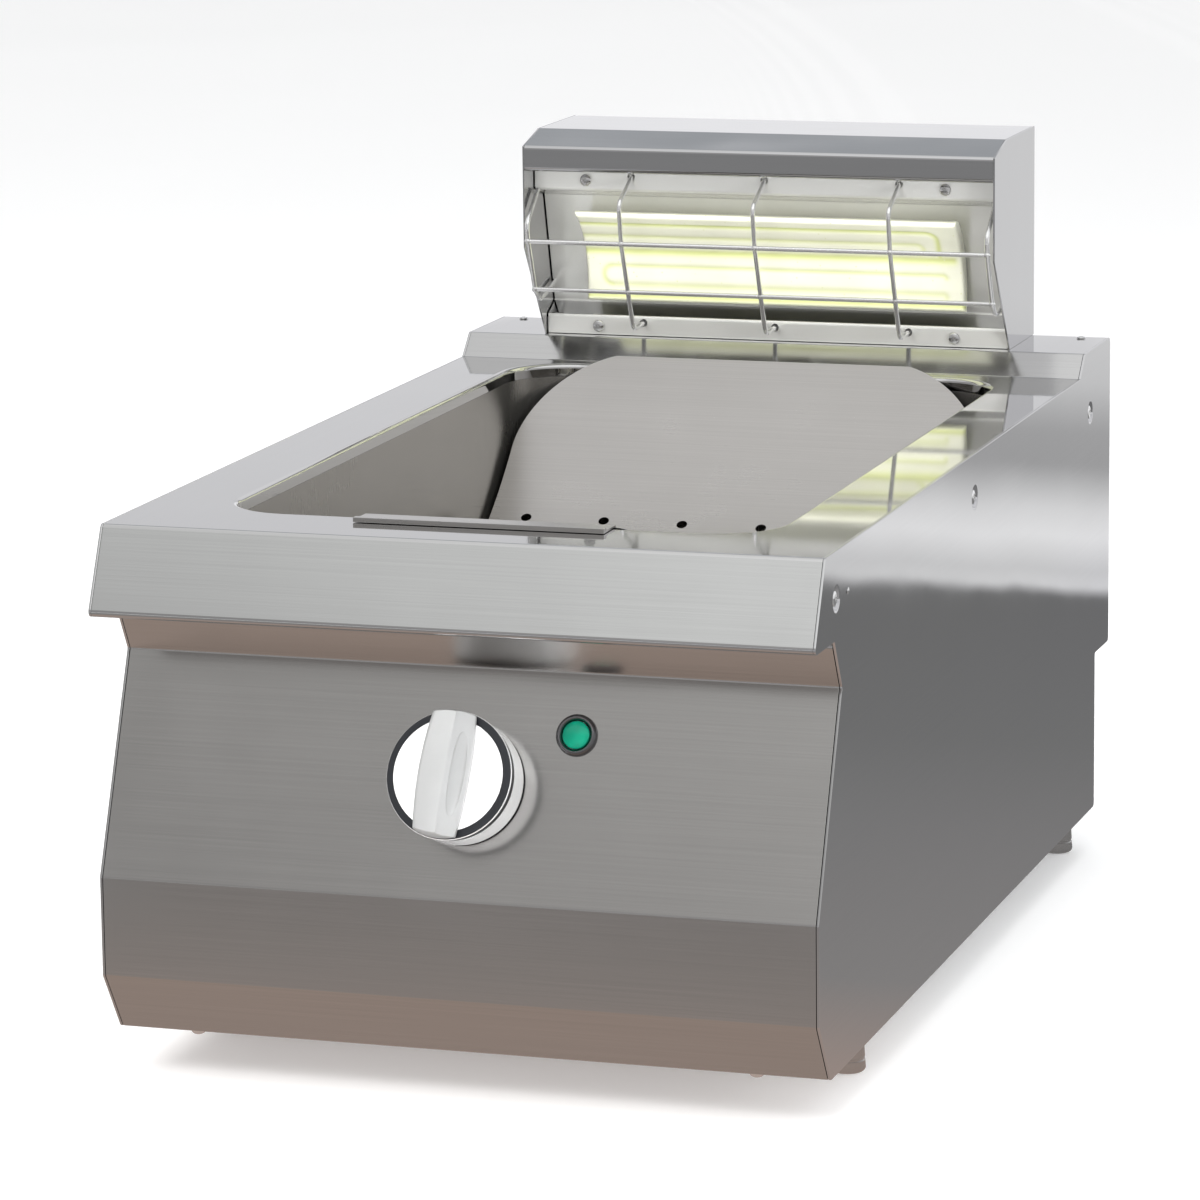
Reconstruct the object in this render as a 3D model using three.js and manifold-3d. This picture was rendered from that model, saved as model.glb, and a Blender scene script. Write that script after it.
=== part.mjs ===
// Countertop chip warmer: a stainless box with a deep well, a lift-out chute and an overhead heater.
// Millimetres, +Z up. X runs to the right and Y to the back. The origin is on the floor, under the middle.
import * as THREE from "three";
import { mergeVertices } from "three/addons/utils/BufferGeometryUtils.js";
import Module from "manifold-3d";

const wasm = await Module();
wasm.setup();

// Whole object
const bodyWidth = 400;
const bodyDepth = 700;
const worktopHeight = 305;
const footHeight = 26;

// How far the knob stands in front of the body: the origin is under the middle of both together
const knobOverhang = 21;

// Sheet metal of the body
const sheet = 1.5;
const bendRadius = 1.5;
const seamGap = 0.3;
const seatGap = 0.3;
const cutOver = 2;

// Front of the body, from the worktop edge down
const apronLean = 22;
const apronHeight = 47;
const apronLipDepth = 45;
const recessSetback = 39;
const recessRun = 15;
const recessDrop = 27;
const fasciaRun = 47.5;
const fasciaDrop = 116;
const shinHeight = 55;
const toeRun = 22.5;
const fasciaFlange = 20;

// Rear of the body
const upstandRise = 13.6;
const upstandChamfer = 14;
const upstandDepth = 71;
const rearHemHeight = 25;
const rearOverhang = 39;
const rearStepHeight = 98.5;
const rearFlange = 40;

// Bottom flanges of the side panels, and the hangers inside them
const sideFlangeWidth = 40;
const sideFlangeEndGap = 2;
const hangerInset = 4;
const hangerDepth = 42;
const hangerEndGap = 8;

// Well
const wellSideLand = 46;
const wellFrontLand = 53;
const wellRearLand = 13;
const wellDepth = 150;
const wellCorner = 38;
const wellFloorRadius = 25;
const wellDraftShare = 0.03;
const rimRadius = 3;
const collarDepth = 8;

// Chute insert
const insertSheet = 1.2;
const insertSideGap = 5.5;
const insertCrestRise = 5.5;
const insertFloorDrop = 112;
const insertSlopeRun = 95.8;
const insertSweepRun = 182;
const insertCrestCornerAlong = 48;
const insertCrestCornerAcross = 75;
const insertFrontGap = 4;
const insertFrontDraft = 14;
const insertFrontBend = 8;
const insertLipDepth = 16;
const insertLipHem = 3.4;
const insertLipWidth = 140;
const insertLipShoulder = 28;
const insertShoulderDrop = 9;
const holeDiameter = 6.5;
const holePitch = 50;
const holeColumns = 6;
const holeSlopeRow = 82;
const holeFloorRows = 7;

// Heater hood
const hoodSideLand = 49;
const hoodHeight = 131.4;
const hoodSheet = 1.2;
const hoodFrontReach = 105.9;
const hoodFootReach = 65.1;
const hoodBrowRun = 31.4;
const hoodBrowDrop = 7.8;
const hoodBezelHeight = 15.7;
const hoodCheekHeight = 60.2;
const hoodShelfDepth = 22;
const hoodHangFlange = 12;
const hoodRearFoot = 14;
const hoodFloorFlange = 10;

// Reflector inside the hood
const reflectorTopBand = 13.2;
const reflectorShelfRun = 18.6;
const reflectorShelfDrop = 5;
const reflectorWallRun = 18.5;
const reflectorWallDrop = 70;
const reflectorLowerRun = 14.1;
const reflectorLowerDrop = 7;
const reflectorEndGap = 0.6;
const reflectorSlotWidth = 40;
const reflectorSlotHeight = 18;

// Ceramic trough heater
const heaterEndGap = 27.3;
const heaterChordRun = 24;
const heaterChordDrop = 56;
const heaterSagitta = 9;
const heaterThickness = 6.5;
const heaterTopBack = 15.2;
const heaterTopBelow = 52.5;
const heaterTopRise = 3;
const heaterNeckWidth = 38;
const heaterNeckHeight = 16;
const heaterNeckReach = 6;
const heaterClipWidth = 64;
const heaterClipHeight = 32;

// Wire guard: the corners' depths are behind the hood's front edge and their heights above the upstand
const wireDiameter = 3;
const wireBend = 3.6;
const wireHole = 4.8;
const guardPitch = 86;
const guardEndGap = 2.8;
const guardTopBelow = 4;
const guardFootAbove = -1.6;
const guardUpperBarDepth = -3;
const guardUpperBarHeight = 64.4;
const guardLowerBarDepth = 9.9;
const guardLowerBarHeight = 32.6;
const guardMiddleBrowDepth = -7.8;
const guardMiddleBrowHeight = 89.6;
const guardMiddleFootDepth = 21;
const guardMiddleFootHeight = 7.5;
const guardOuterBrowDepth = -4.8;
const guardOuterBrowHeight = 75.2;
const guardOuterFootDepth = 19.8;
const guardOuterFootHeight = 24;
const guardOuterTopGap = 1;
const guardOuterTopBelow = 1.5;
const guardOuterEndGap = 0.6;
const guardOuterEndHeight = 32.8;

// Screws and rivets; a dome share is how much of a head's height is domed
const screwSegments = 10;
const screwShoulderShare = 0.7;
const sideScrewHead = 8.4;
const sideScrewHeadHeight = 1.9;
const sideScrewShank = 3.9;
const sideScrewLength = 14;
const sideScrewDomeShare = 0.5;
const sideScrewBelow = 25;
const sideScrewFrontInset = 20.5;
const sideScrewRearInset = 56.1;
const dimpleDiameter = 14.6;
const dimpleFloorDiameter = 9.6;
const dimpleDepth = 2.2;
const rivetHead = 3.6;
const rivetShank = 2.4;
const rivetHeadHeight = 0.5;
const rivetLength = 6;
const rivetSetback = 43;
const hoodScrewHead = 7.5;
const hoodScrewHeadHeight = 2.5;
const hoodScrewShank = 3.4;
const hoodScrewLength = 7;
const hoodScrewDomeShare = 0.6;
const hoodScrewInset = 35.5;
const hoodUpperScrewBelow = 30.3;
const hoodLowerScrewAbove = 5.8;
const toeScrewHead = 8;
const toeScrewHeadHeight = 3.4;
const toeScrewShank = 3.9;
const toeScrewLength = 9;
const toeScrewDomeShare = 0.7;
const toeScrewInset = 42.5;
const toeScrewSetback = 8;
const upstandScrewHead = 6;
const upstandScrewHeadHeight = 1.2;
const upstandScrewShank = 3.4;
const upstandScrewLength = 10;
const upstandScrewDomeShare = 0.5;
const upstandScrewInset = 16.5;
const upstandScrewSetback = 9.8;
const holePlay = 0.6;

// Knob, its switch and the pilot lamp
const knobDiameter = 69;
const knobBaseDiameter = 66;
const knobDepth = 28;
const knobWall = 3;
const knobRunningGap = 1.2;
const knobFaceDiameter = 60;
const knobFaceHeight = 1.5;
const knobGripWidth = 25;
const knobGripCrest = 20;
const knobGripHeight = 13;
const knobRestTurn = 4;
const knobBossDiameter = 16;
const spindleDiameter = 6;
const spindleReach = 20;
const bushDiameter = 11;
const bushHeight = 5;
const bushNutDiameter = 17;
const bushNutHeight = 2.4;
const switchWidth = 46;
const switchHeight = 44;
const switchDepth = 32;
const lampOffset = 59;
const lampAlong = 33.5;
const lampBezelDiameter = 22.6;
const lampBezelHeight = 3.2;
const lampLensDiameter = 15;
const lampLensRise = 3.4;
const lampBezelShoulderShare = 0.8;
const lampBarrelDiameter = 17;
const lampBarrelDepth = 30;
const lampBarrelEndShare = 0.7;
const lampBarrelStepShare = 0.8;
const lampNutDiameter = 24;
const lampNutHeight = 4;

// Outline of the lamp's lens, as shares of its radius and of its rise above the seat
const lensDomeShares = [[1, 0], [0.8, 0.6], [0.4, 0.87], [0, 1]];

// Feet
const footBaseDiameter = 20;
const footTopDiameter = 17;
const footEdgeRadius = 2.5;
const footStudDiameter = 7.6;
const footStudReach = 24;
const footHole = 8.6;
const footNutDiameter = 15;
const footNutHeight = 6.5;
const footSideInset = 20;
const footFrontInset = 136.3;
const footRearInset = 56.7;

// Service pieces inside and at the back
const glandSideInset = 70;
const glandAbove = 50;
const glandThread = 19.4;
const glandBore = 9;
const glandMouth = 12.6;
const glandHexDiameter = 26;
const glandHexHeight = 6;
const glandDomeDiameter = 21;
const glandDomeHeight = 12;
const glandInside = 12;
const glandNutHeight = 5;
const terminalWidth = 60;
const terminalDepth = 24;
const terminalHeight = 20;
const terminalGroove = 5;
const terminalGrooves = 4;
const terminalSetback = 60;
const terminalAcross = 40;
const leadDiameter = 7;
const leadBack = 28;
const leadBehindWell = 28.7;
const grommetDiameter = 13;
const grommetFlangeDiameter = 17;
const grommetFlangeHeight = 1.4;

// Facets of round pieces
const bendSteps = 3;
const cornerSteps = 6;
const roundSegments = 18;
const knobSegments = 36;
const smallSegments = 10;
const wireSegments = 8;
const wireSteps = 24;
const leadSteps = 30;
const slopeSamples = 96;

// Levels and planes that several pieces share
const frontY = (knobOverhang - bodyDepth) / 2;
const rearY = frontY + bodyDepth;
const sideX = bodyWidth / 2;
const innerX = sideX - sheet;
const worktopZ = worktopHeight;
const worktopFrontY = frontY + apronLean;
const apronBottomZ = worktopZ - apronHeight;
const recessTopY = frontY + recessSetback;
const recessTopZ = apronBottomZ - seamGap;
const fasciaTopY = recessTopY + recessRun;
const fasciaTopZ = apronBottomZ - recessDrop;
const shinY = fasciaTopY - fasciaRun;
const shinTopZ = fasciaTopZ - fasciaDrop;
const shinBottomZ = shinTopZ - shinHeight;
const toeY = shinY + toeRun;
const toeScrewX = sideX - toeScrewInset;
const upstandScrewX = sideX - upstandScrewInset;
const footX = sideX - footSideInset;
const bodyBottomZ = footHeight;
const upstandZ = worktopZ + upstandRise;
const upstandFrontY = rearY - upstandDepth;
const upstandFootY = upstandFrontY - upstandChamfer;
const rearHemZ = upstandZ - rearHemHeight;
const rearStepZ = bodyBottomZ + rearStepHeight;
const rearLowY = rearY - rearOverhang;
const wellWidth = bodyWidth - 2 * wellSideLand;
const wellFrontY = worktopFrontY + wellFrontLand;
const wellRearY = upstandFootY - wellRearLand;
const wellLength = wellRearY - wellFrontY;
const wellMiddleY = (wellFrontY + wellRearY) / 2;
const hoodWidth = bodyWidth - 2 * hoodSideLand;
const hoodScrewX = hoodWidth / 2 - hoodScrewInset;
const hoodFrontY = rearY - hoodFrontReach;
const hoodFootY = rearY - hoodFootReach;
const hoodTopZ = upstandZ + hoodHeight;
const hoodInnerX = hoodWidth / 2 - hoodSheet;
const guardHalfWidth = hoodInnerX - guardEndGap;
const heaterLength = 2 * (hoodInnerX - heaterEndGap);
const hoodBezelTopZ = hoodTopZ - hoodBrowDrop;
const hoodBezelBottomZ = hoodBezelTopZ - hoodBezelHeight;
const reflectorTopY = hoodFrontY + hoodShelfDepth - hoodSheet - seamGap - hoodSheet;
const reflectorTopZ = hoodBezelBottomZ - seamGap;

// Fascia frame: its outward normal, and places measured down from its top edge
const fasciaLength = Math.hypot(fasciaRun, fasciaDrop);
const fasciaNormal = new THREE.Vector3(0, -fasciaDrop / fasciaLength, fasciaRun / fasciaLength);
const knobAlong = fasciaLength / 2;

// Metals and other stuffs, with the colours that the object shows
function finish(color, roughness, metalness) {
  return new THREE.MeshStandardMaterial({ color, roughness, metalness, flatShading: true });
}
const brushedSteel = finish(0xb9bbbe, 0.35, 1);
const polishedSteel = finish(0xd6d8da, 0.12, 1);
const plainSteel = finish(0x9a9c9f, 0.5, 1);
const chromeWire = finish(0xc9cbce, 0.2, 1);
const glazedCeramic = finish(0xe6efae, 0.25, 0);
const blackPlastic = finish(0x26272b, 0.5, 0);
const whitePlastic = finish(0xf4f4f4, 0.4, 0);
const silverPlastic = finish(0xc8cacb, 0.35, 0.3);
const greenLens = finish(0x12a878, 0.15, 0);
const greyPlastic = finish(0x8b8f94, 0.5, 0);
const creamPlastic = finish(0xdcd8c8, 0.6, 0);
const glassSleeve = finish(0xe9e2d0, 0.8, 0);

const group = new THREE.Group();
group.name = "chip_warmer";

// Geometry with shared corners, no collapsed faces, and its faces pointing out
function closed(geometry) {
  const bare = geometry.clone();
  for (const name of Object.keys(bare.attributes)) {
    if (name !== "position") bare.deleteAttribute(name);
  }
  const merged = mergeVertices(bare);
  const index = merged.index.array;
  const corner = [new THREE.Vector3(), new THREE.Vector3(), new THREE.Vector3()];
  const kept = [];
  let volume = 0;
  for (let i = 0; i < index.length; i += 3) {
    const [a, b, c] = [index[i], index[i + 1], index[i + 2]];
    if (a === b || b === c || c === a) continue;
    [a, b, c].forEach((at, k) => corner[k].fromBufferAttribute(merged.attributes.position, at));
    volume += corner[0].dot(corner[1].cross(corner[2]));
    kept.push(a, b, c);
  }
  if (volume < 0) {
    for (let i = 0; i < kept.length; i += 3) [kept[i + 1], kept[i + 2]] = [kept[i + 2], kept[i + 1]];
  }
  merged.setIndex(kept);
  return merged;
}

function solid(geometry) {
  const body = closed(geometry);
  const mesh = new wasm.Mesh({
    numProp: 3,
    vertProperties: new Float32Array(body.attributes.position.array),
    triVerts: new Uint32Array(body.index.array),
  });
  return new wasm.Manifold(mesh);
}

function shapeOf(body) {
  const mesh = body.getMesh();
  const geometry = new THREE.BufferGeometry();
  geometry.setAttribute("position", new THREE.BufferAttribute(new Float32Array(mesh.vertProperties), 3));
  geometry.setIndex(Array.from(mesh.triVerts));
  return geometry;
}

function addPiece(parent, name, shape, material) {
  const geometry = shape.isBufferGeometry ? closed(shape) : shapeOf(shape);
  const mesh = new THREE.Mesh(geometry, material);
  mesh.name = name;
  parent.add(mesh);
  return mesh;
}

// A Y-Z point of a section; bend is the inside radius there, and zero leaves a plain corner
function at(y, z, bend = bendRadius) {
  return { y, z, bend };
}

function normalBetween(from, to, side) {
  const length = Math.hypot(to.y - from.y, to.z - from.z);
  return { y: (-side * (to.z - from.z)) / length, z: (side * (to.y - from.y)) / length };
}

// One face of a bent sheet: the drawn face moved by depth towards the metal, which lies left of the path
// where side is 1 and right of it where side is -1
function sheetFace(path, side, thickness, depth) {
  const points = [];
  path.forEach((point, i) => {
    const before = i > 0 ? normalBetween(path[i - 1], point, side) : null;
    const after = i < path.length - 1 ? normalBetween(point, path[i + 1], side) : null;
    if (!before || !after) {
      const normal = before ?? after;
      points.push(at(point.y + depth * normal.y, point.z + depth * normal.z));
      return;
    }
    const share = 1 + before.y * after.y + before.z * after.z;
    const middle = { y: (before.y + after.y) / share, z: (before.z + after.z) / share };
    if (point.bend === 0) {
      points.push(at(point.y + depth * middle.y, point.z + depth * middle.z));
      return;
    }
    const towards = (before.y * after.z - before.z * after.y) * side > 0;
    const reach = towards ? point.bend + thickness : -point.bend;
    const start = Math.atan2(before.z, before.y);
    let turn = Math.atan2(after.z, after.y) - start;
    if (turn > Math.PI) turn -= 2 * Math.PI;
    if (turn < -Math.PI) turn += 2 * Math.PI;
    for (let k = 0; k <= bendSteps; k += 1) {
      const angle = start + (turn * k) / bendSteps;
      const y = point.y + reach * middle.y - (reach - depth) * Math.cos(angle);
      const z = point.z + reach * middle.z - (reach - depth) * Math.sin(angle);
      points.push(at(y, z));
    }
  });
  return points;
}

function outlineShape(points) {
  return new THREE.Shape(points.map((point) => new THREE.Vector2(point.y, point.z)));
}

// A Y-Z outline run along X
function alongX(shape, fromX, toX) {
  const geometry = new THREE.ExtrudeGeometry(shape, { depth: toX - fromX, bevelEnabled: false });
  const basis = new THREE.Matrix4().makeBasis(
    new THREE.Vector3(0, 1, 0),
    new THREE.Vector3(0, 0, 1),
    new THREE.Vector3(1, 0, 0),
  );
  return geometry.applyMatrix4(basis).translate(fromX, 0, 0);
}

function bentSheet(path, side, thickness, halfWidth) {
  const outer = sheetFace(path, side, thickness, 0);
  const inner = sheetFace(path, side, thickness, thickness).reverse();
  return solid(alongX(outlineShape([...outer, ...inner]), -halfWidth, halfWidth));
}

function block(x, y, z) {
  const [wide, deep, high] = [x[1] - x[0], y[1] - y[0], z[1] - z[0]];
  const geometry = new THREE.BoxGeometry(wide, deep, high);
  return solid(geometry.translate(x[0] + wide / 2, y[0] + deep / 2, z[0] + high / 2));
}

// A round solid about +Z from radius and height pairs, which starts and ends on the axis or closes on itself
function turned(profile, segments = roundSegments) {
  const points = profile.map(([radius, height]) => new THREE.Vector2(radius, height));
  return new THREE.LatheGeometry(points, segments).rotateX(Math.PI / 2);
}

// A nut about +Z: a flat-sided ring from low to high round a round bore
function ringNut(bore, across, low, high, sides) {
  const body = solid(turned([[0, low], [across / 2, low], [across / 2, high], [0, high]], sides));
  const [under, over] = [low - cutOver, high + cutOver];
  return body.subtract(solid(turned([[0, under], [bore / 2, under], [bore / 2, over], [0, over]])));
}

function rod(diameter, from, to, segments = smallSegments) {
  const way = new THREE.Vector3().subVectors(to, from);
  const geometry = new THREE.CylinderGeometry(diameter / 2, diameter / 2, way.length(), segments);
  const turn = new THREE.Quaternion().setFromUnitVectors(new THREE.Vector3(0, 1, 0), way.clone().normalize());
  const middle = from.clone().addScaledVector(way, 1 / 2);
  return solid(geometry.applyQuaternion(turn).translate(middle.x, middle.y, middle.z));
}

// A cutter along Y, through a thin sheet whose face lies at y
function throughY(x, y, z, diameter) {
  const from = new THREE.Vector3(x, y - hoodSheet - cutOver, z);
  return rod(diameter, from, new THREE.Vector3(x, y + hoodSheet + cutOver, z));
}

// Rounded rectangle in the X-Y plane, grown outwards by a margin
function roundedOutline(halfX, halfY, radius, margin) {
  const round = radius + margin;
  const points = [];
  const corners = [[1, 1], [-1, 1], [-1, -1], [1, -1]];
  corners.forEach(([alongWidth, alongLength], quarter) => {
    for (let k = 0; k <= cornerSteps; k += 1) {
      const angle = ((quarter + k / cornerSteps) * Math.PI) / 2;
      points.push([
        alongWidth * (halfX - radius) + round * Math.cos(angle),
        alongLength * (halfY - radius) + round * Math.sin(angle),
      ]);
    }
  });
  return points;
}

// A closed solid through outlines with the same number of points, each at its own height
function loft(rings) {
  const count = rings[0].points.length;
  const positions = rings.flatMap((ring) => ring.points.flatMap(([x, y]) => [x, y, ring.z]));
  const index = [];
  for (let r = 0; r < rings.length - 1; r += 1) {
    for (let k = 0; k < count; k += 1) {
      const next = (k + 1) % count;
      const [low, high] = [r * count, (r + 1) * count];
      index.push(low + k, low + next, high + next, low + k, high + next, high + k);
    }
  }
  const top = (rings.length - 1) * count;
  for (let k = 1; k < count - 1; k += 1) {
    index.push(0, k + 1, k);
    index.push(top, top + k, top + k + 1);
  }
  const geometry = new THREE.BufferGeometry();
  geometry.setAttribute("position", new THREE.Float32BufferAttribute(positions, 3));
  geometry.setIndex(index);
  return geometry;
}

// A screw about +Z with its head's underside at zero: a domed head with a cross, and a plain shank
function screw(head, headHeight, shank, length, domeShare) {
  const edge = headHeight * (1 - domeShare);
  const profile = [
    [0, -length],
    [shank / 2, -length],
    [shank / 2, 0],
    [head / 2, 0],
    [head / 2, edge],
    [head / 3, edge + (headHeight - edge) * screwShoulderShare],
    [0, headHeight],
  ];
  const slotDepth = headHeight / 2;
  const slotReach = head / 4;
  const slotHalf = head / 16;
  const cross = block([-slotReach, slotReach], [-slotHalf, slotHalf], [slotDepth, headHeight + cutOver])
    .add(block([-slotHalf, slotHalf], [-slotReach, slotReach], [slotDepth, headHeight + cutOver]));
  return shapeOf(solid(turned(profile, screwSegments)).subtract(cross));
}

function aim(mesh, direction) {
  mesh.quaternion.setFromUnitVectors(new THREE.Vector3(0, 0, 1), direction);
  return mesh;
}

// Section paths
function worktopPath() {
  return [
    at(frontY + apronLipDepth, apronBottomZ),
    at(frontY, apronBottomZ),
    at(worktopFrontY, worktopZ),
    at(upstandFootY, worktopZ),
    at(upstandFrontY, upstandZ),
    at(rearY, upstandZ),
    at(rearY, rearHemZ),
  ];
}

function fasciaPath() {
  return [
    at(recessTopY + fasciaFlange, recessTopZ),
    at(recessTopY, recessTopZ),
    at(fasciaTopY, fasciaTopZ),
    at(shinY, shinTopZ),
    at(shinY, shinBottomZ),
    at(toeY, bodyBottomZ),
    at(toeY + fasciaFlange, bodyBottomZ),
  ];
}

function backPath() {
  return [
    at(rearY, rearHemZ - seamGap),
    at(rearY, rearStepZ),
    at(rearLowY, rearStepZ),
    at(rearLowY, bodyBottomZ),
    at(rearLowY - rearFlange, bodyBottomZ),
  ];
}

function sideScrewPlaces() {
  const first = worktopFrontY + sideScrewFrontInset;
  const last = rearY - sideScrewRearInset;
  return [first, (first + last) / 2, last].map((y) => ({ y, z: worktopZ - sideScrewBelow }));
}

function rivetPlace() {
  return { y: worktopFrontY + rivetSetback, z: worktopZ - sideScrewBelow };
}

function footPlaces() {
  return [
    ["front_left", -footX, frontY + footFrontInset],
    ["front_right", footX, frontY + footFrontInset],
    ["rear_left", -footX, rearY - footRearInset],
    ["rear_right", footX, rearY - footRearInset],
  ];
}

function fasciaPoint(along, lift) {
  const share = along / fasciaLength;
  const place = new THREE.Vector3(0, fasciaTopY - fasciaRun * share, fasciaTopZ - fasciaDrop * share);
  return place.addScaledVector(fasciaNormal, lift);
}

// Holes for the feet through anything at the bottom
function cutFootHoles(body) {
  return footPlaces().reduce((rest, [, x, y]) => {
    const low = new THREE.Vector3(x, y, bodyBottomZ - cutOver);
    const high = new THREE.Vector3(x, y, bodyBottomZ + cutOver + 2 * sheet);
    return rest.subtract(rod(footHole, low, high));
  }, body);
}

// Side panels: the whole side profile in one plate, with dimples for the screws and a bottom flange
function sidePanel(sign) {
  const top = sheetFace(worktopPath(), -1, sheet, 0);
  const back = sheetFace(backPath(), -1, sheet, 0);
  const front = sheetFace(fasciaPath(), 1, sheet, 0).reverse();
  const outline = outlineShape([
    at(recessTopY, apronBottomZ),
    ...top.slice(1),
    ...back.slice(1, -1),
    ...front.slice(1, -1 - bendSteps),
  ]);
  let panel = solid(alongX(outline, innerX, sideX));
  const flange = block(
    [sideX - sideFlangeWidth, innerX + sheet / 2],
    [toeY + fasciaFlange + sideFlangeEndGap, rearLowY - rearFlange - sideFlangeEndGap],
    [bodyBottomZ, bodyBottomZ + sheet],
  );
  panel = cutFootHoles(panel.add(flange));
  for (const place of sideScrewPlaces()) {
    const facing = (profile) => solid(turned(profile).rotateY(Math.PI / 2).translate(0, place.y, place.z));
    const bowlEnd = sideX - dimpleDepth - sheet;
    panel = panel.add(facing([
      [0, bowlEnd], [dimpleFloorDiameter / 2, bowlEnd], [dimpleDiameter / 2 + sheet, innerX], [0, innerX],
    ]));
    panel = panel.subtract(facing([
      [0, sideX - dimpleDepth], [dimpleFloorDiameter / 2, sideX - dimpleDepth], [dimpleDiameter / 2, sideX],
      [dimpleDiameter / 2, sideX + cutOver], [0, sideX + cutOver],
    ]));
    panel = panel.subtract(facing([
      [0, bowlEnd - cutOver], [(sideScrewShank + holePlay) / 2, bowlEnd - cutOver],
      [(sideScrewShank + holePlay) / 2, sideX], [0, sideX],
    ]));
  }
  const rivet = rivetPlace();
  panel = panel.subtract(rod(
    rivetShank + holePlay,
    new THREE.Vector3(innerX - cutOver, rivet.y, rivet.z),
    new THREE.Vector3(sideX + cutOver, rivet.y, rivet.z),
  ));
  return sign > 0 ? panel : panel.mirror([1, 0, 0]);
}

// Front fascia: recess band, leaning face, upright band and toe in one bent sheet
function frontFascia() {
  let fascia = bentSheet(fasciaPath(), 1, sheet, innerX - seamGap);
  const through = (along, offset, diameter) => {
    const shift = new THREE.Vector3(offset, 0, 0);
    const behind = fasciaPoint(along, -cutOver - sheet).add(shift);
    return rod(diameter, behind, fasciaPoint(along, cutOver).add(shift), roundSegments);
  };
  fascia = fascia.subtract(through(knobAlong, 0, bushDiameter + holePlay));
  fascia = fascia.subtract(through(lampAlong, lampOffset, lampBarrelDiameter + holePlay));
  for (const x of [-toeScrewX, toeScrewX]) {
    const y = toeY + toeScrewSetback;
    const low = new THREE.Vector3(x, y, bodyBottomZ - cutOver);
    const high = new THREE.Vector3(x, y, bodyBottomZ + cutOver + sheet);
    fascia = fascia.subtract(rod(toeScrewShank + holePlay, low, high));
  }
  return fascia;
}

// Worktop: apron, flat top with the well's rounded opening, upstand and rear hem, with hangers at its sides
function worktop() {
  let top = bentSheet(worktopPath(), -1, sheet, innerX);
  const halfX = wellWidth / 2;
  const halfY = wellLength / 2;
  const collarZ = worktopZ - collarDepth;
  const outline = (margin) => roundedOutline(halfX, halfY, wellCorner, margin);
  const collar = loft([
    { z: collarZ, points: outline(sheet) },
    { z: worktopZ - sheet / 2, points: outline(sheet) },
  ]).translate(0, wellMiddleY, 0);
  const rings = [
    { z: collarZ - cutOver, points: outline(0) },
    { z: worktopZ - rimRadius, points: outline(0) },
  ];
  for (let k = 1; k <= bendSteps; k += 1) {
    const angle = ((k / bendSteps) * Math.PI) / 2;
    rings.push({
      z: worktopZ - rimRadius * (1 - Math.sin(angle)),
      points: outline(rimRadius * (1 - Math.cos(angle))),
    });
  }
  rings.push({ z: worktopZ + cutOver, points: outline(rimRadius) });
  top = top.add(solid(collar)).subtract(solid(loft(rings).translate(0, wellMiddleY, 0)));
  const hangerX = innerX - hangerInset + sheet;
  for (const sign of [-1, 1]) {
    const ends = [sign * (hangerX - sheet), sign * hangerX].sort((a, b) => a - b);
    const hangerY = [worktopFrontY + hangerEndGap, rearY - hangerEndGap];
    let hanger = block(ends, hangerY, [worktopZ - hangerDepth, worktopZ - sheet / 2]);
    for (const place of [...sideScrewPlaces(), rivetPlace()]) {
      hanger = hanger.subtract(rod(
        sideScrewShank + holePlay,
        new THREE.Vector3(sign * (hangerX - sheet - cutOver), place.y, place.z),
        new THREE.Vector3(sign * (hangerX + cutOver), place.y, place.z),
      ));
    }
    top = top.add(hanger);
    const x = sign * upstandScrewX;
    const y = rearY - upstandScrewSetback;
    top = top.subtract(rod(
      upstandScrewShank + holePlay,
      new THREE.Vector3(x, y, upstandZ - sheet - cutOver),
      new THREE.Vector3(x, y, upstandZ + cutOver),
    ));
  }
  const leadY = rearY - leadBack;
  return top.subtract(rod(
    grommetDiameter + holePlay,
    new THREE.Vector3(0, leadY, upstandZ - sheet - cutOver),
    new THREE.Vector3(0, leadY, upstandZ + cutOver),
    roundSegments,
  ));
}

// Well: a deep drawn tub, butted to the collar under the worktop's opening
function well() {
  const depth = wellDepth - collarDepth;
  const floorZ = worktopZ - wellDepth;
  const topZ = worktopZ - collarDepth;
  const tub = (margin, low, overTop) => {
    const rings = [];
    for (let k = 0; k <= bendSteps; k += 1) {
      const angle = ((k / bendSteps) * Math.PI) / 2;
      const rise = wellFloorRadius * (1 - Math.cos(angle));
      const inset = wellFloorRadius * (1 - Math.sin(angle));
      const draft = wellDraftShare * (depth - rise);
      rings.push({ z: low + rise, margin: margin - inset - draft });
    }
    rings.push({ z: topZ, margin });
    if (overTop) rings.push({ z: topZ + cutOver, margin });
    const points = (grow) => roundedOutline(wellWidth / 2, wellLength / 2, wellCorner, grow);
    return solid(loft(rings.map((ring) => ({ z: ring.z, points: points(ring.margin) }))));
  };
  const body = tub(sheet, floorZ - sheet, false).subtract(tub(0, floorZ, true));
  return body.translate([0, wellMiddleY, 0]);
}

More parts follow.
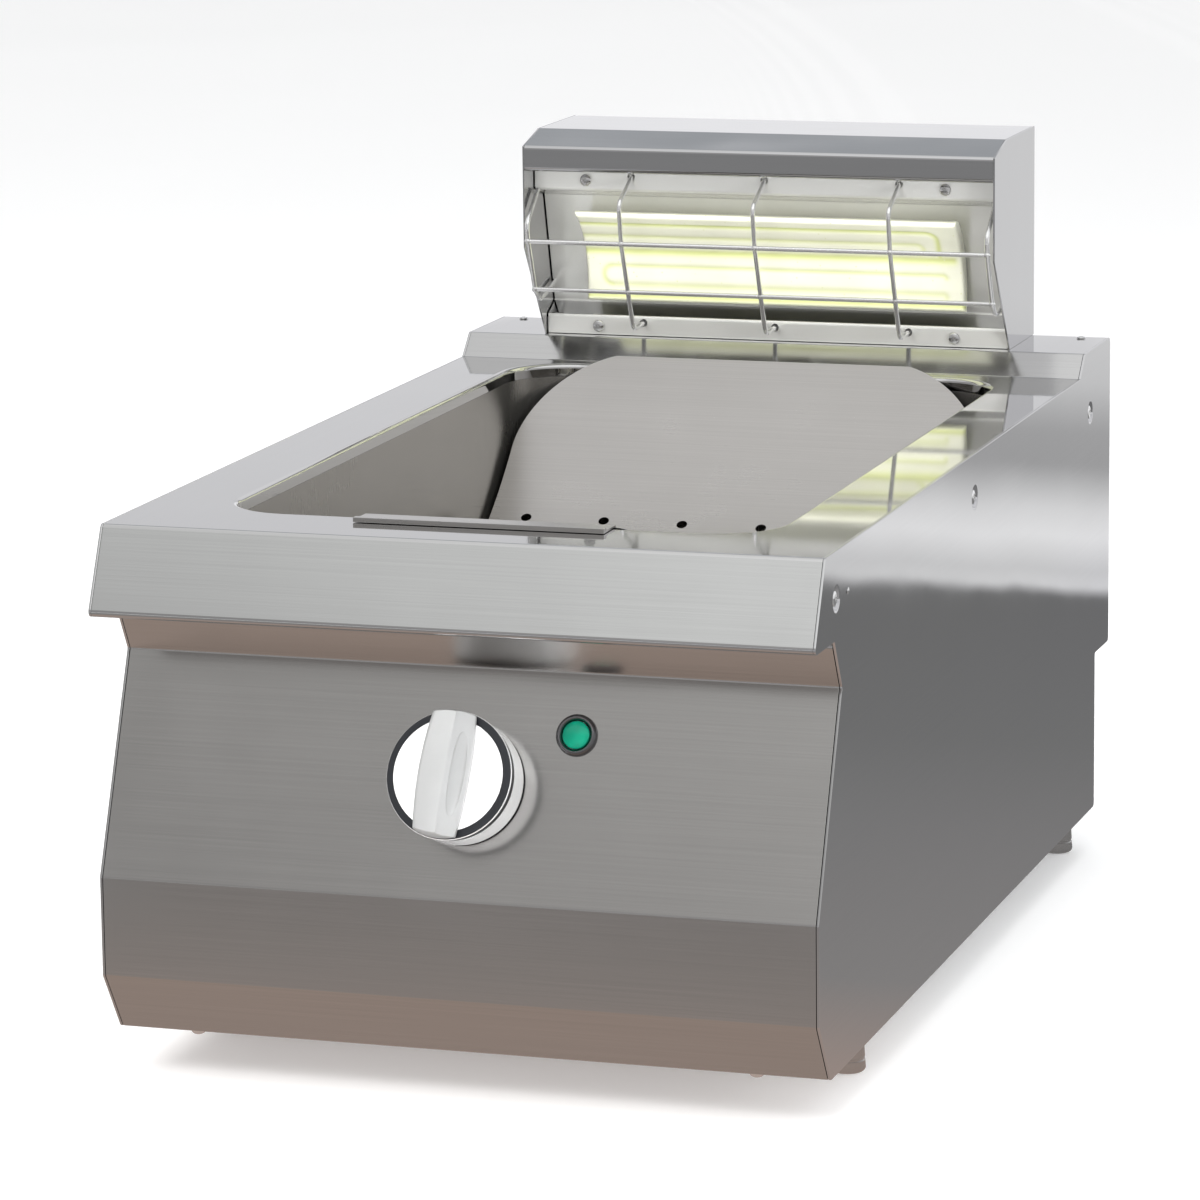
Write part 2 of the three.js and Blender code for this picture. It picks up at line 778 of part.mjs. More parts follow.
// Chute insert: a curved plate from the rear rim down to a pierced floor, and up to a lip on the front rim
function chuteInsert() {
  const floorZ = worktopZ - insertFloorDrop;
  const crestZ = worktopZ + insertCrestRise;
  const slopeDrop = crestZ - floorZ;
  const slopeLength = Math.hypot(insertSlopeRun, slopeDrop);
  const rimCentreY = wellRearY + rimRadius;
  const lean = insertSlopeRun / slopeLength;
  const clear = insertSheet + seatGap + rimRadius - (rimRadius + insertCrestRise) * lean;
  const crestY = rimCentreY - (clear * slopeLength) / slopeDrop;
  const sweep = new THREE.QuadraticBezierCurve(
    new THREE.Vector2(crestY, crestZ),
    new THREE.Vector2(crestY - insertSlopeRun, floorZ),
    new THREE.Vector2(crestY - insertSweepRun, floorZ),
  );
  const curve = sweep.getPoints(2 * cornerSteps).map((point) => at(point.x, point.y, 0));
  const frontTopY = wellFrontY + insertFrontGap;
  const lipZ = worktopZ + seatGap + insertSheet;
  const lipY = wellFrontY - insertLipDepth;
  const path = [
    ...curve,
    at(frontTopY + insertFrontDraft, floorZ, insertFrontBend),
    at(frontTopY, lipZ),
    at(lipY, lipZ),
  ];
  const halfWidth = wellWidth / 2 - insertSideGap;
  let insert = bentSheet(path, 1, insertSheet, halfWidth).intersect(insertEnvelope(halfWidth, lipY));
  const hem = block(
    [-insertLipWidth / 2, insertLipWidth / 2],
    [lipY - sheet, lipY + insertLipHem],
    [worktopZ + seatGap, worktopZ + seatGap + insertLipHem],
  );
  insert = insert.add(hem);
  insert = insert.subtract(crestCorners(halfWidth, crestY)).subtract(lipShoulders(halfWidth, lipY));
  const first = (-(holeColumns - 1) * holePitch) / 2;
  const rowY = crestY - insertSweepRun;
  for (let column = 0; column < holeColumns; column += 1) {
    const x = first + column * holePitch;
    insert = insert.subtract(slopeHole(sweep, x));
    for (let row = 0; row < holeFloorRows; row += 1) {
      const y = rowY - row * holePitch;
      const low = new THREE.Vector3(x, y, floorZ - insertSheet - cutOver);
      const high = new THREE.Vector3(x, y, floorZ + cutOver);
      insert = insert.subtract(rod(holeDiameter, low, high, wireSegments));
    }
  }
  return insert;
}

// The room that the insert may fill, also while it tilts out: the well less a margin, leaning back below, and
// open behind for the crest and before for the lip
function insertEnvelope(halfWidth, lipY) {
  const low = worktopZ - insertFloorDrop - insertSheet - cutOver;
  const high = worktopZ + insertCrestRise + insertLipHem + cutOver;
  const outline = roundedOutline(wellWidth / 2, wellLength / 2, wellCorner, -insertSideGap);
  const lower = outline.map(([x, y]) => [x, y + insertFrontDraft]);
  const shoulderX = insertLipWidth / 2 + insertLipShoulder;
  const rings = [{ z: low, points: lower }, { z: high, points: outline }];
  const tub = solid(loft(rings).translate(0, wellMiddleY, 0));
  const behind = block([-halfWidth, halfWidth], [wellMiddleY, upstandFootY], [low, high]);
  const before = block([-shoulderX, shoulderX], [lipY - cutOver, wellMiddleY], [low, high]);
  return tub.add(behind).add(before);
}

function slopeHole(sweep, x) {
  let share = 0;
  for (let k = 0; k <= slopeSamples; k += 1) {
    if (sweep.getPoint(k / slopeSamples).y >= worktopZ - holeSlopeRow) share = k / slopeSamples;
  }
  const point = sweep.getPoint(share);
  const tangent = sweep.getTangent(share);
  const normal = new THREE.Vector3(0, tangent.y, -tangent.x);
  const middle = new THREE.Vector3(x, point.x, point.y);
  const reach = insertSheet + cutOver;
  const from = middle.clone().addScaledVector(normal, -reach);
  return rod(holeDiameter, from, middle.clone().addScaledVector(normal, reach), wireSegments);
}

// What is cut away so that the plate's crest ends in two large round corners
function crestCorners(halfWidth, crestY) {
  const low = worktopZ - insertFloorDrop;
  const high = worktopZ + insertCrestRise + cutOver;
  const startY = crestY - insertCrestCornerAlong;
  const startX = halfWidth - insertCrestCornerAcross;
  const corner = (sign) => {
    const points = [new THREE.Vector2(sign * (halfWidth + cutOver), startY)];
    points.push(new THREE.Vector2(sign * (halfWidth + cutOver), crestY + 2 * cutOver));
    points.push(new THREE.Vector2(sign * startX, crestY + 2 * cutOver));
    for (let k = 0; k <= cornerSteps; k += 1) {
      const angle = ((1 - k / cornerSteps) * Math.PI) / 2;
      const x = startX + insertCrestCornerAcross * Math.cos(angle);
      points.push(new THREE.Vector2(sign * x, startY + (insertCrestCornerAlong + cutOver) * Math.sin(angle)));
    }
    const options = { depth: high - low, bevelEnabled: false };
    return solid(new THREE.ExtrudeGeometry(new THREE.Shape(points), options).translate(0, 0, low));
  };
  return corner(-1).add(corner(1));
}

// What is cut away so that the front wall rises to the lip in two flowing shoulders
function lipShoulders(halfWidth, lipY) {
  const high = worktopZ + insertLipHem + cutOver;
  const low = worktopZ - insertShoulderDrop;
  const inner = insertLipWidth / 2;
  const corner = (sign) => {
    const points = [
      new THREE.Vector2(sign * (halfWidth + cutOver), low),
      new THREE.Vector2(sign * (halfWidth + cutOver), high),
      new THREE.Vector2(sign * inner, high),
    ];
    for (let k = 0; k <= cornerSteps; k += 1) {
      const share = k / cornerSteps;
      const ease = (1 + Math.cos(share * Math.PI)) / 2;
      const x = sign * (inner + insertLipShoulder * share);
      points.push(new THREE.Vector2(x, low + (worktopZ - low) * ease));
    }
    const depth = wellFrontY + insertFrontGap + insertFrontDraft - lipY + cutOver;
    return solid(new THREE.ExtrudeGeometry(new THREE.Shape(points), { depth, bevelEnabled: false })
      .rotateX(Math.PI / 2).translate(0, lipY - cutOver + depth, 0));
  };
  return corner(-1).add(corner(1));
}

function basePlate() {
  const plate = block(
    [-innerX + seamGap, innerX - seamGap],
    [toeY + toeRun / 2, rearLowY - 2 * sheet],
    [bodyBottomZ + sheet, bodyBottomZ + 2 * sheet],
  );
  const toe = toeY + toeScrewSetback;
  return cutFootHoles(plate).subtract(block(
    [-toeScrewX - toeScrewHead, toeScrewX + toeScrewHead],
    [toe - toeScrewHead, toe + toeScrewHead / 2],
    [bodyBottomZ, bodyBottomZ + 2 * sheet + cutOver],
  ));
}

function backPanel() {
  const panel = cutFootHoles(bentSheet(backPath(), -1, sheet, innerX - seamGap));
  const place = glandPlace();
  return panel.subtract(rod(
    glandThread + holePlay,
    place.clone().setY(rearLowY - sheet - cutOver),
    place.clone().setY(rearLowY + cutOver),
    roundSegments,
  ));
}

function glandPlace() {
  return new THREE.Vector3(glandSideInset - sideX, rearLowY, bodyBottomZ + glandAbove);
}

function addBody() {
  addPiece(group, "left_side_panel", sidePanel(-1), brushedSteel);
  addPiece(group, "right_side_panel", sidePanel(1), brushedSteel);
  addPiece(group, "front_fascia", frontFascia(), brushedSteel);
  addPiece(group, "worktop", worktop(), brushedSteel);
  addPiece(group, "well", well(), brushedSteel);
  addPiece(group, "chute_insert", chuteInsert(), brushedSteel);
  addPiece(group, "base_plate", basePlate(), plainSteel);
  addPiece(group, "back_panel", backPanel(), plainSteel);
}

// Hood shell: hanging flange, shelf, bezel, brow, top and rear in one bent sheet
function hoodShell() {
  const hangY = hoodFrontY + hoodShelfDepth;
  const shell = bentSheet([
    at(hangY, hoodBezelBottomZ - hoodHangFlange),
    at(hangY, hoodBezelBottomZ),
    at(hoodFrontY, hoodBezelBottomZ),
    at(hoodFrontY, hoodBezelTopZ),
    at(hoodFrontY + hoodBrowRun, hoodTopZ),
    at(rearY, hoodTopZ),
    at(rearY, upstandZ),
    at(rearY - hoodRearFoot, upstandZ),
  ], -1, hoodSheet, hoodInnerX);
  return [-hoodScrewX, hoodScrewX].reduce((rest, x) => rest.subtract(
    throughY(x, hangY, hoodTopZ - hoodUpperScrewBelow, hoodScrewShank + holePlay),
  ), shell);
}

function hoodCheek(sign) {
  const outline = outlineShape([
    at(hoodFrontY, upstandZ + hoodCheekHeight),
    at(hoodFrontY, hoodBezelTopZ),
    at(hoodFrontY + hoodBrowRun, hoodTopZ),
    at(rearY, hoodTopZ),
    at(rearY, upstandZ),
    at(hoodFootY, upstandZ),
  ]);
  const ends = [sign * hoodInnerX, (sign * hoodWidth) / 2].sort((a, b) => a - b);
  return alongX(outline, ends[0], ends[1]);
}

// Reflector: a bent sheet with a slot for the heater's neck
function reflectorPath() {
  const shelfY = reflectorTopY + reflectorShelfRun;
  const shelfZ = reflectorTopZ - reflectorTopBand - reflectorShelfDrop;
  const wallY = shelfY + reflectorWallRun;
  const wallZ = shelfZ - reflectorWallDrop;
  const lowY = wallY - reflectorLowerRun;
  return [
    at(reflectorTopY, reflectorTopZ),
    at(reflectorTopY, reflectorTopZ - reflectorTopBand),
    at(shelfY, shelfZ),
    at(wallY, wallZ),
    at(lowY, wallZ - reflectorLowerDrop),
    at(lowY, upstandZ + seamGap),
  ];
}

// Depth of the reflector's leaning wall at a height
function wallDepth(z) {
  const [, , high, low] = reflectorPath();
  return high.y + ((high.z - z) / (high.z - low.z)) * (low.y - high.y);
}

function neckLevel() {
  return hoodTopZ - heaterTopBelow - heaterChordDrop / 2;
}

function reflector() {
  const path = reflectorPath();
  const lowY = path[4].y;
  const z = neckLevel();
  let sheetBody = bentSheet(path, 1, hoodSheet, hoodInnerX - reflectorEndGap);
  sheetBody = sheetBody.subtract(block(
    [-reflectorSlotWidth / 2, reflectorSlotWidth / 2],
    [path[2].y, path[3].y + hoodSheet + cutOver],
    [z - reflectorSlotHeight / 2, z + reflectorSlotHeight / 2],
  ));
  const screwHole = hoodScrewShank + holePlay;
  for (const x of [-hoodScrewX, hoodScrewX]) {
    sheetBody = sheetBody.subtract(throughY(x, reflectorTopY, hoodTopZ - hoodUpperScrewBelow, screwHole));
    sheetBody = sheetBody.subtract(throughY(x, lowY, upstandZ + hoodLowerScrewAbove, screwHole));
  }
  const ends = guardEnds();
  for (const x of [-guardPitch, 0, guardPitch]) {
    sheetBody = sheetBody.subtract(throughY(x, reflectorTopY, ends.topZ, wireHole));
    sheetBody = sheetBody.subtract(throughY(x, lowY, ends.bottomZ, wireHole));
  }
  return sheetBody;
}

// Hood floor: an angle that carries the reflector's foot and closes the hood below
function hoodFloor() {
  const footY = reflectorPath()[4].y + hoodSheet + seamGap;
  let floor = bentSheet([
    at(footY, upstandZ + hoodFloorFlange),
    at(footY, upstandZ),
    at(rearY - hoodRearFoot - seamGap, upstandZ),
  ], 1, hoodSheet, hoodInnerX);
  for (const x of [-hoodScrewX, hoodScrewX]) {
    floor = floor.subtract(throughY(x, footY, upstandZ + hoodLowerScrewAbove, hoodScrewShank + holePlay));
  }
  return floor.subtract(rod(
    grommetDiameter + holePlay,
    new THREE.Vector3(0, rearY - leadBack, upstandZ - cutOver),
    new THREE.Vector3(0, rearY - leadBack, upstandZ + hoodSheet + cutOver),
    roundSegments,
  ));
}

// Ceramic trough heater: an arched band that faces the well, with a neck at its back
function heaterArc(depth) {
  const chord = Math.hypot(heaterChordRun, heaterChordDrop);
  const radius = (chord * chord) / (8 * heaterSagitta) + heaterSagitta / 2;
  const topY = hoodFrontY + heaterTopBack;
  const topZ = hoodTopZ - heaterTopBelow;
  const half = Math.asin(chord / (2 * radius));
  const lean = Math.atan2(heaterChordRun, heaterChordDrop);
  const middle = { y: topY + heaterChordRun / 2, z: topZ - heaterChordDrop / 2 };
  const reach = radius - heaterSagitta;
  const centre = { y: middle.y - reach * Math.cos(lean), z: middle.z - reach * Math.sin(lean) };
  const points = [];
  for (let k = 0; k <= 2 * cornerSteps; k += 1) {
    const angle = lean + half * (1 - k / cornerSteps);
    const arm = radius + depth;
    points.push(at(centre.y + arm * Math.cos(angle), centre.z + arm * Math.sin(angle)));
  }
  return points;
}

function ceramicHeater() {
  const band = [...heaterArc(0), ...heaterArc(heaterThickness).reverse()];
  const body = solid(alongX(outlineShape(band), -heaterLength / 2, heaterLength / 2));
  const z = neckLevel();
  const back = heaterArc(heaterThickness / 2);
  const startY = back.find((point) => point.z < z).y;
  const top = hoodTopZ - heaterTopBelow + heaterTopRise;
  const trimmed = body.subtract(block([-heaterLength, heaterLength], [hoodFrontY, rearY], [top, hoodTopZ]));
  return trimmed.add(block(
    [-heaterNeckWidth / 2, heaterNeckWidth / 2],
    [startY, wallDepth(z) + hoodSheet + heaterNeckReach],
    [z - heaterNeckHeight / 2, z + heaterNeckHeight / 2],
  ));
}

function heaterClip() {
  const z = neckLevel();
  const lean = THREE.MathUtils.radToDeg(Math.atan2(reflectorWallRun, reflectorWallDrop));
  const plate = block(
    [-heaterClipWidth / 2, heaterClipWidth / 2],
    [hoodSheet + seamGap, 2 * hoodSheet + seamGap],
    [-heaterClipHeight / 2, heaterClipHeight / 2],
  ).rotate([lean, 0, 0]).translate([0, wallDepth(z), z]);
  return plate.subtract(block(
    [-heaterNeckWidth / 2 - seatGap, heaterNeckWidth / 2 + seatGap],
    [wallDepth(z) - heaterClipHeight, wallDepth(z) + heaterClipHeight],
    [z - heaterNeckHeight / 2 - seatGap, z + heaterNeckHeight / 2 + seatGap],
  ));
}

// Heights at which the guard's middle wires enter the reflector's upper and lower bands
function guardEnds() {
  return {
    topZ: reflectorTopZ - guardTopBelow,
    bottomZ: upstandZ + hoodFloorFlange + guardFootAbove,
  };
}

// Corner places of the guard's wires, from the hood's front edge and the upstand
function guardCorners() {
  const ends = guardEnds();
  const path = reflectorPath();
  const outerEndZ = upstandZ + guardOuterEndHeight;
  const inHole = hoodSheet / 2;
  const front = (depth, height) => new THREE.Vector3(0, hoodFrontY + depth, upstandZ + height);
  const upperBar = front(guardUpperBarDepth, guardUpperBarHeight);
  const lowerBar = front(guardLowerBarDepth, guardLowerBarHeight);
  const middle = [
    new THREE.Vector3(0, reflectorTopY + inHole, ends.topZ),
    front(guardMiddleBrowDepth, guardMiddleBrowHeight),
    upperBar,
    lowerBar,
    front(guardMiddleFootDepth, guardMiddleFootHeight),
    new THREE.Vector3(0, path[4].y + inHole, ends.bottomZ),
  ];
  const outer = [
    new THREE.Vector3(0, reflectorTopY - guardOuterTopGap, path[1].z - guardOuterTopBelow),
    front(guardOuterBrowDepth, guardOuterBrowHeight),
    upperBar,
    lowerBar,
    front(guardOuterFootDepth, guardOuterFootHeight),
    new THREE.Vector3(0, wallDepth(outerEndZ) - guardOuterEndGap, outerEndZ),
  ];
  return { middle, outer, upperBar, lowerBar };
}

function bentWire(corners, x) {
  const path = new THREE.CurvePath();
  let last = corners[0];
  for (let i = 1; i < corners.length - 1; i += 1) {
    const before = corners[i].clone().add(corners[i - 1].clone().sub(corners[i]).setLength(wireBend));
    const after = corners[i].clone().add(corners[i + 1].clone().sub(corners[i]).setLength(wireBend));
    path.add(new THREE.LineCurve3(last, before));
    path.add(new THREE.QuadraticBezierCurve3(before, corners[i], after));
    last = after;
  }
  path.add(new THREE.LineCurve3(last, corners[corners.length - 1]));
  return solid(sweptWire(path).translate(x, 0, 0));
}

function roundSection(diameter) {
  const points = [];
  for (let k = 0; k < wireSegments; k += 1) {
    const angle = ((k + 1 / 2) / wireSegments) * 2 * Math.PI;
    points.push(new THREE.Vector2((Math.cos(angle) * diameter) / 2, (Math.sin(angle) * diameter) / 2));
  }
  return new THREE.Shape(points);
}

function sweptWire(path) {
  return new THREE.ExtrudeGeometry(roundSection(wireDiameter), { steps: wireSteps, extrudePath: path });
}

function wireGuard() {
  const { middle, outer, upperBar, lowerBar } = guardCorners();
  const bars = [upperBar, lowerBar].map((place) => rod(
    wireDiameter,
    place.clone().setX(-guardHalfWidth),
    place.clone().setX(guardHalfWidth),
    wireSegments,
  ));
  const uprights = [-guardPitch, 0, guardPitch].map((x) => bentWire(middle, x));
  const ends = [-guardHalfWidth, guardHalfWidth].map((x) => bentWire(outer, x));
  return [...bars, ...uprights, ...ends].reduce((whole, wire) => whole.add(wire));
}

function addHood() {
  const hood = new THREE.Group();
  group.add(hood);
  addPiece(hood, "hood_shell", hoodShell(), brushedSteel);
  addPiece(hood, "hood_left_cheek", hoodCheek(-1), brushedSteel);
  addPiece(hood, "hood_right_cheek", hoodCheek(1), brushedSteel);
  addPiece(hood, "hood_floor", hoodFloor(), plainSteel);
  addPiece(hood, "reflector", reflector(), polishedSteel);
  addPiece(hood, "ceramic_heater", ceramicHeater(), glazedCeramic);
  addPiece(hood, "heater_clip", heaterClip(), plainSteel);
  addPiece(hood, "wire_guard", wireGuard(), chromeWire);
  const shape = screw(
    hoodScrewHead, hoodScrewHeadHeight, hoodScrewShank, hoodScrewLength, hoodScrewDomeShare,
  );
  const rows = [
    ["upper", reflectorTopY, hoodTopZ - hoodUpperScrewBelow],
    ["lower", reflectorPath()[4].y, upstandZ + hoodLowerScrewAbove],
  ];
  for (const [row, y, z] of rows) {
    for (const [side, x] of [["left", -hoodScrewX], ["right", hoodScrewX]]) {
      const mesh = addPiece(hood, `hood_screw_${row}_${side}`, shape, chromeWire);
      aim(mesh, new THREE.Vector3(0, -1, 0)).position.set(x, y - seatGap, z);
    }
  }
}

// Knob's frame on the fascia: skirt, face disc, grip and spindle turn together about the fascia's normal
function knobGroup() {
  const knob = new THREE.Group();
  knob.position.copy(fasciaPoint(knobAlong, 0));
  knob.quaternion.setFromUnitVectors(new THREE.Vector3(0, 0, 1), fasciaNormal);
  group.add(knob);
  return knob;
}

function knobSkirt() {
  const inner = knobDiameter / 2 - knobWall;
  const roof = knobDepth - knobWall;
  const bore = spindleDiameter / 2 + seatGap;
  const boreTop = spindleReach + seatGap;
  return turned([
    [0, boreTop],
    [bore, boreTop],
    [bore, bushHeight + knobRunningGap],
    [knobBossDiameter / 2, bushHeight + knobRunningGap],
    [knobBossDiameter / 2, roof],
    [inner, roof],
    [knobBaseDiameter / 2 - knobWall, knobRunningGap],
    [knobBaseDiameter / 2, knobRunningGap],
    [knobDiameter / 2, knobDepth - knobWall / 2],
    [knobDiameter / 2 - knobWall / 2, knobDepth],
    [0, knobDepth],
  ], knobSegments);
}

function knobGrip() {
  const half = knobGripWidth / 2;
  const crest = knobGripCrest / 2;
  const low = knobDepth + knobFaceHeight + 2 * seatGap;
  const high = low + knobGripHeight;
  const section = new THREE.Shape([
    new THREE.Vector2(-half, low),
    new THREE.Vector2(half, low),
    new THREE.Vector2(half, low + knobGripHeight / 3),
    new THREE.Vector2(crest, high),
    new THREE.Vector2(-crest, high),
    new THREE.Vector2(-half, low + knobGripHeight / 3),
  ]);
  const bar = solid(new THREE.ExtrudeGeometry(section, { depth: knobDiameter, bevelEnabled: false })
    .rotateX(Math.PI / 2).translate(0, knobDiameter / 2, 0));
  const round = solid(turned([
    [0, low - cutOver], [knobDiameter / 2, low - cutOver], [knobDiameter / 2, low + knobGripHeight / 2],
    [knobFaceDiameter / 2, high], [0, high],
  ], knobSegments));
  return bar.intersect(round);
}

function addControls() {
  const knob = knobGroup();
  addPiece(knob, "knob_skirt", knobSkirt(), blackPlastic);
  const faceZ = knobDepth + seatGap;
  addPiece(knob, "knob_face", turned([
    [0, faceZ], [knobFaceDiameter / 2, faceZ], [knobFaceDiameter / 2, faceZ + knobFaceHeight],
    [0, faceZ + knobFaceHeight],
  ], knobSegments), whitePlastic);
  const grip = addPiece(knob, "knob_grip", knobGrip(), silverPlastic);
  grip.rotation.z = THREE.MathUtils.degToRad(-knobRestTurn);
  const switchTop = -sheet - seatGap;
  const spindleFoot = switchTop + seatGap - bushHeight;
  addPiece(knob, "switch_spindle", turned([
    [0, spindleFoot],
    [spindleDiameter / 2, spindleFoot],
    [spindleDiameter / 2, spindleReach],
    [0, spindleReach],
  ], smallSegments), plainSteel);
  const bore = spindleDiameter / 2 + seatGap;
  const half = { x: switchWidth / 2, y: switchHeight / 2 };
  const body = block([-half.x, half.x], [-half.y, half.y], [switchTop - switchDepth, switchTop])
    .add(solid(turned([
      [0, switchTop - cutOver],
      [bushDiameter / 2, switchTop - cutOver],
      [bushDiameter / 2, bushHeight],
      [0, bushHeight],
    ])))
    .subtract(solid(turned([
      [0, spindleFoot - seatGap], [bore, spindleFoot - seatGap], [bore, bushHeight + cutOver],
      [0, bushHeight + cutOver],
    ])));
  addPiece(knob, "rotary_switch", body, greyPlastic);
  const nutBore = bushDiameter + 2 * seatGap;
  const nut = ringNut(nutBore, bushNutDiameter, seatGap, seatGap + bushNutHeight, cornerSteps);
  addPiece(knob, "switch_nut", nut, plainSteel);
  addLamp();
}

function addLamp() {
  const lamp = new THREE.Group();
  lamp.position.copy(fasciaPoint(lampAlong, 0)).setX(lampOffset);
  lamp.quaternion.setFromUnitVectors(new THREE.Vector3(0, 0, 1), fasciaNormal);
  group.add(lamp);
  const lens = lampLensDiameter / 2;
  const bezel = lampBezelDiameter / 2;
  const seat = lampBezelHeight / 2;
  addPiece(lamp, "lamp_bezel", turned([
    [lens + seatGap, seatGap],
    [bezel, seatGap],
    [bezel - lampBezelHeight / 4, lampBezelHeight * lampBezelShoulderShare],
    [bezel - lampBezelHeight / 2, lampBezelHeight],
    [lens + lampBezelHeight / 4, lampBezelHeight * lampBezelShoulderShare],
    [lens + seatGap, seat],
    [lens + seatGap, seatGap],
  ]), blackPlastic);
  addPiece(lamp, "lamp_lens", turned([
    [0, seatGap],
    [lens, seatGap],
    ...lensDomeShares.map(([across, up]) => [lens * across, seat + (lampLensRise - seat) * up]),
  ]), greenLens);
  const barrel = lampBarrelDiameter / 2;
  addPiece(lamp, "lamp_body", turned([
    [0, -lampBarrelDepth],
    [barrel * lampBarrelEndShare, -lampBarrelDepth],
    [barrel, -lampBarrelDepth * lampBarrelStepShare],
    [barrel, 0],
    [0, 0],
  ]), greyPlastic);
  const nutTop = -sheet - seatGap;
  const nutBore = lampBarrelDiameter + 2 * seatGap;
  const nut = ringNut(nutBore, lampNutDiameter, nutTop - lampNutHeight, nutTop, 2 * cornerSteps);
  addPiece(lamp, "lamp_nut", nut, greyPlastic);
}

function addFasteners() {
  const side = screw(sideScrewHead, sideScrewHeadHeight, sideScrewShank, sideScrewLength, sideScrewDomeShare);
  const rivet = turned([
    [0, -rivetLength], [rivetShank / 2, -rivetLength], [rivetShank / 2, 0], [rivetHead / 2, 0],
    [rivetHead / 3, rivetHeadHeight], [0, rivetHeadHeight],
  ], screwSegments);
  const rows = ["front", "middle", "rear"];
  for (const [word, sign] of [["left", -1], ["right", 1]]) {
    const out = new THREE.Vector3(sign, 0, 0);
    sideScrewPlaces().forEach((place, k) => {
      const mesh = aim(addPiece(group, `side_screw_${word}_${rows[k]}`, side, chromeWire), out);
      mesh.position.set(sign * (sideX - dimpleDepth + seatGap / 2), place.y, place.z);
    });
    const mesh = aim(addPiece(group, `side_rivet_${word}`, rivet, chromeWire), out);
    mesh.position.set(sign * (sideX + seatGap / 2), rivetPlace().y, rivetPlace().z);
  }
  const toe = screw(toeScrewHead, toeScrewHeadHeight, toeScrewShank, toeScrewLength, toeScrewDomeShare);
  const upstand = screw(
    upstandScrewHead, upstandScrewHeadHeight, upstandScrewShank, upstandScrewLength, upstandScrewDomeShare,
  );
  for (const [word, sign] of [["left", -1], ["right", 1]]) {
    const low = aim(addPiece(group, `toe_screw_${word}`, toe, chromeWire), new THREE.Vector3(0, 0, -1));
    low.position.set(sign * toeScrewX, toeY + toeScrewSetback, bodyBottomZ - seatGap / 2);
    const high = addPiece(group, `upstand_screw_${word}`, upstand, chromeWire);
    high.position.set(sign * upstandScrewX, rearY - upstandScrewSetback, upstandZ + seatGap / 2);
  }
}

// Screw-in feet under the base, each with a stud that runs through a nut on the base plate
function addFeet() {
  const top = footHeight - seatGap;
  const base = footBaseDiameter / 2;
  const edge = [];
  for (let k = 0; k <= bendSteps; k += 1) {
    const angle = ((k / bendSteps) * Math.PI) / 2;
    edge.push([base - footEdgeRadius * (1 - Math.sin(angle)), footEdgeRadius * (1 - Math.cos(angle))]);
  }
  const foot = turned([
    [0, 0],
    ...edge,
    [footTopDiameter / 2, top],
    [footStudDiameter / 2, top],
    [footStudDiameter / 2, footHeight + footStudReach],
    [0, footHeight + footStudReach],
  ]);
  const nutBore = footStudDiameter + 2 * seatGap;
  const nutZ = bodyBottomZ + 2 * sheet;
  const nut = shapeOf(ringNut(nutBore, footNutDiameter, nutZ, nutZ + footNutHeight, cornerSteps));
  for (const [word, x, y] of footPlaces()) {
    addPiece(group, `foot_${word}`, foot, plainSteel).position.set(x, y, 0);
    addPiece(group, `foot_nut_${word}`, nut, plainSteel).position.set(x, y, 0);
  }
}

// Cable gland through the back panel, its nut, the terminals, and the heater's lead with its grommet
function addService() {
  const place = glandPlace();
  const bore = glandBore / 2;
  const out = new THREE.Vector3(0, 1, 0);
  const hexEnd = seatGap + glandHexHeight;
  const gland = addPiece(group, "cable_gland", turned([
    [bore, -glandInside],
    [glandThread / 2, -glandInside],
    [glandThread / 2, seatGap],
    [glandHexDiameter / 2, seatGap],
    [glandHexDiameter / 2, hexEnd],
    [glandDomeDiameter / 2, hexEnd],
    [glandDomeDiameter / 2, hexEnd + glandDomeHeight / 2],
    [glandMouth / 2, hexEnd + glandDomeHeight],
    [bore, hexEnd + glandDomeHeight],
    [bore, -glandInside],
  ]), blackPlastic);
  aim(gland, out).position.copy(place);
  const nutFar = -sheet - seatGap;
  const nutBore = glandThread + 2 * seatGap;
  const ring = ringNut(nutBore, glandHexDiameter, nutFar - glandNutHeight, nutFar, cornerSteps);
  aim(addPiece(group, "gland_nut", ring, blackPlastic), out).position.copy(place);
  addPiece(group, "terminal_block", terminalBlock(), creamPlastic);
  addPiece(group, "heater_lead", heaterLead(), glassSleeve);
  const ringZ = upstandZ + hoodSheet + seatGap;
  const hole = leadDiameter / 2 + seatGap;
  addPiece(group, "lead_grommet", turned([
    [hole, upstandZ - sheet - seatGap - grommetFlangeHeight],
    [grommetDiameter / 2, upstandZ - sheet - seatGap - grommetFlangeHeight],
    [grommetDiameter / 2, ringZ],
    [grommetFlangeDiameter / 2, ringZ],
    [grommetFlangeDiameter / 2, ringZ + grommetFlangeHeight],
    [hole, ringZ + grommetFlangeHeight],
    [hole, upstandZ - sheet - seatGap - grommetFlangeHeight],
  ]), blackPlastic).position.set(0, rearY - leadBack, 0);
}

function terminalBlock() {
  const low = bodyBottomZ + 2 * sheet;
  const y = rearLowY - terminalSetback;
  const x = [-terminalAcross - terminalWidth, -terminalAcross];
  let body = block(x, [y, y + terminalDepth], [low, low + terminalHeight]);
  for (let k = 1; k <= terminalGrooves; k += 1) {
    const middle = x[0] + (k * terminalWidth) / (terminalGrooves + 1);
    body = body.subtract(block(
      [middle - terminalGroove / 2, middle + terminalGroove / 2],
      [y - cutOver, y + terminalDepth / 3],
      [low + terminalHeight / 2, low + terminalHeight + cutOver],
    ));
  }
  return body;
}

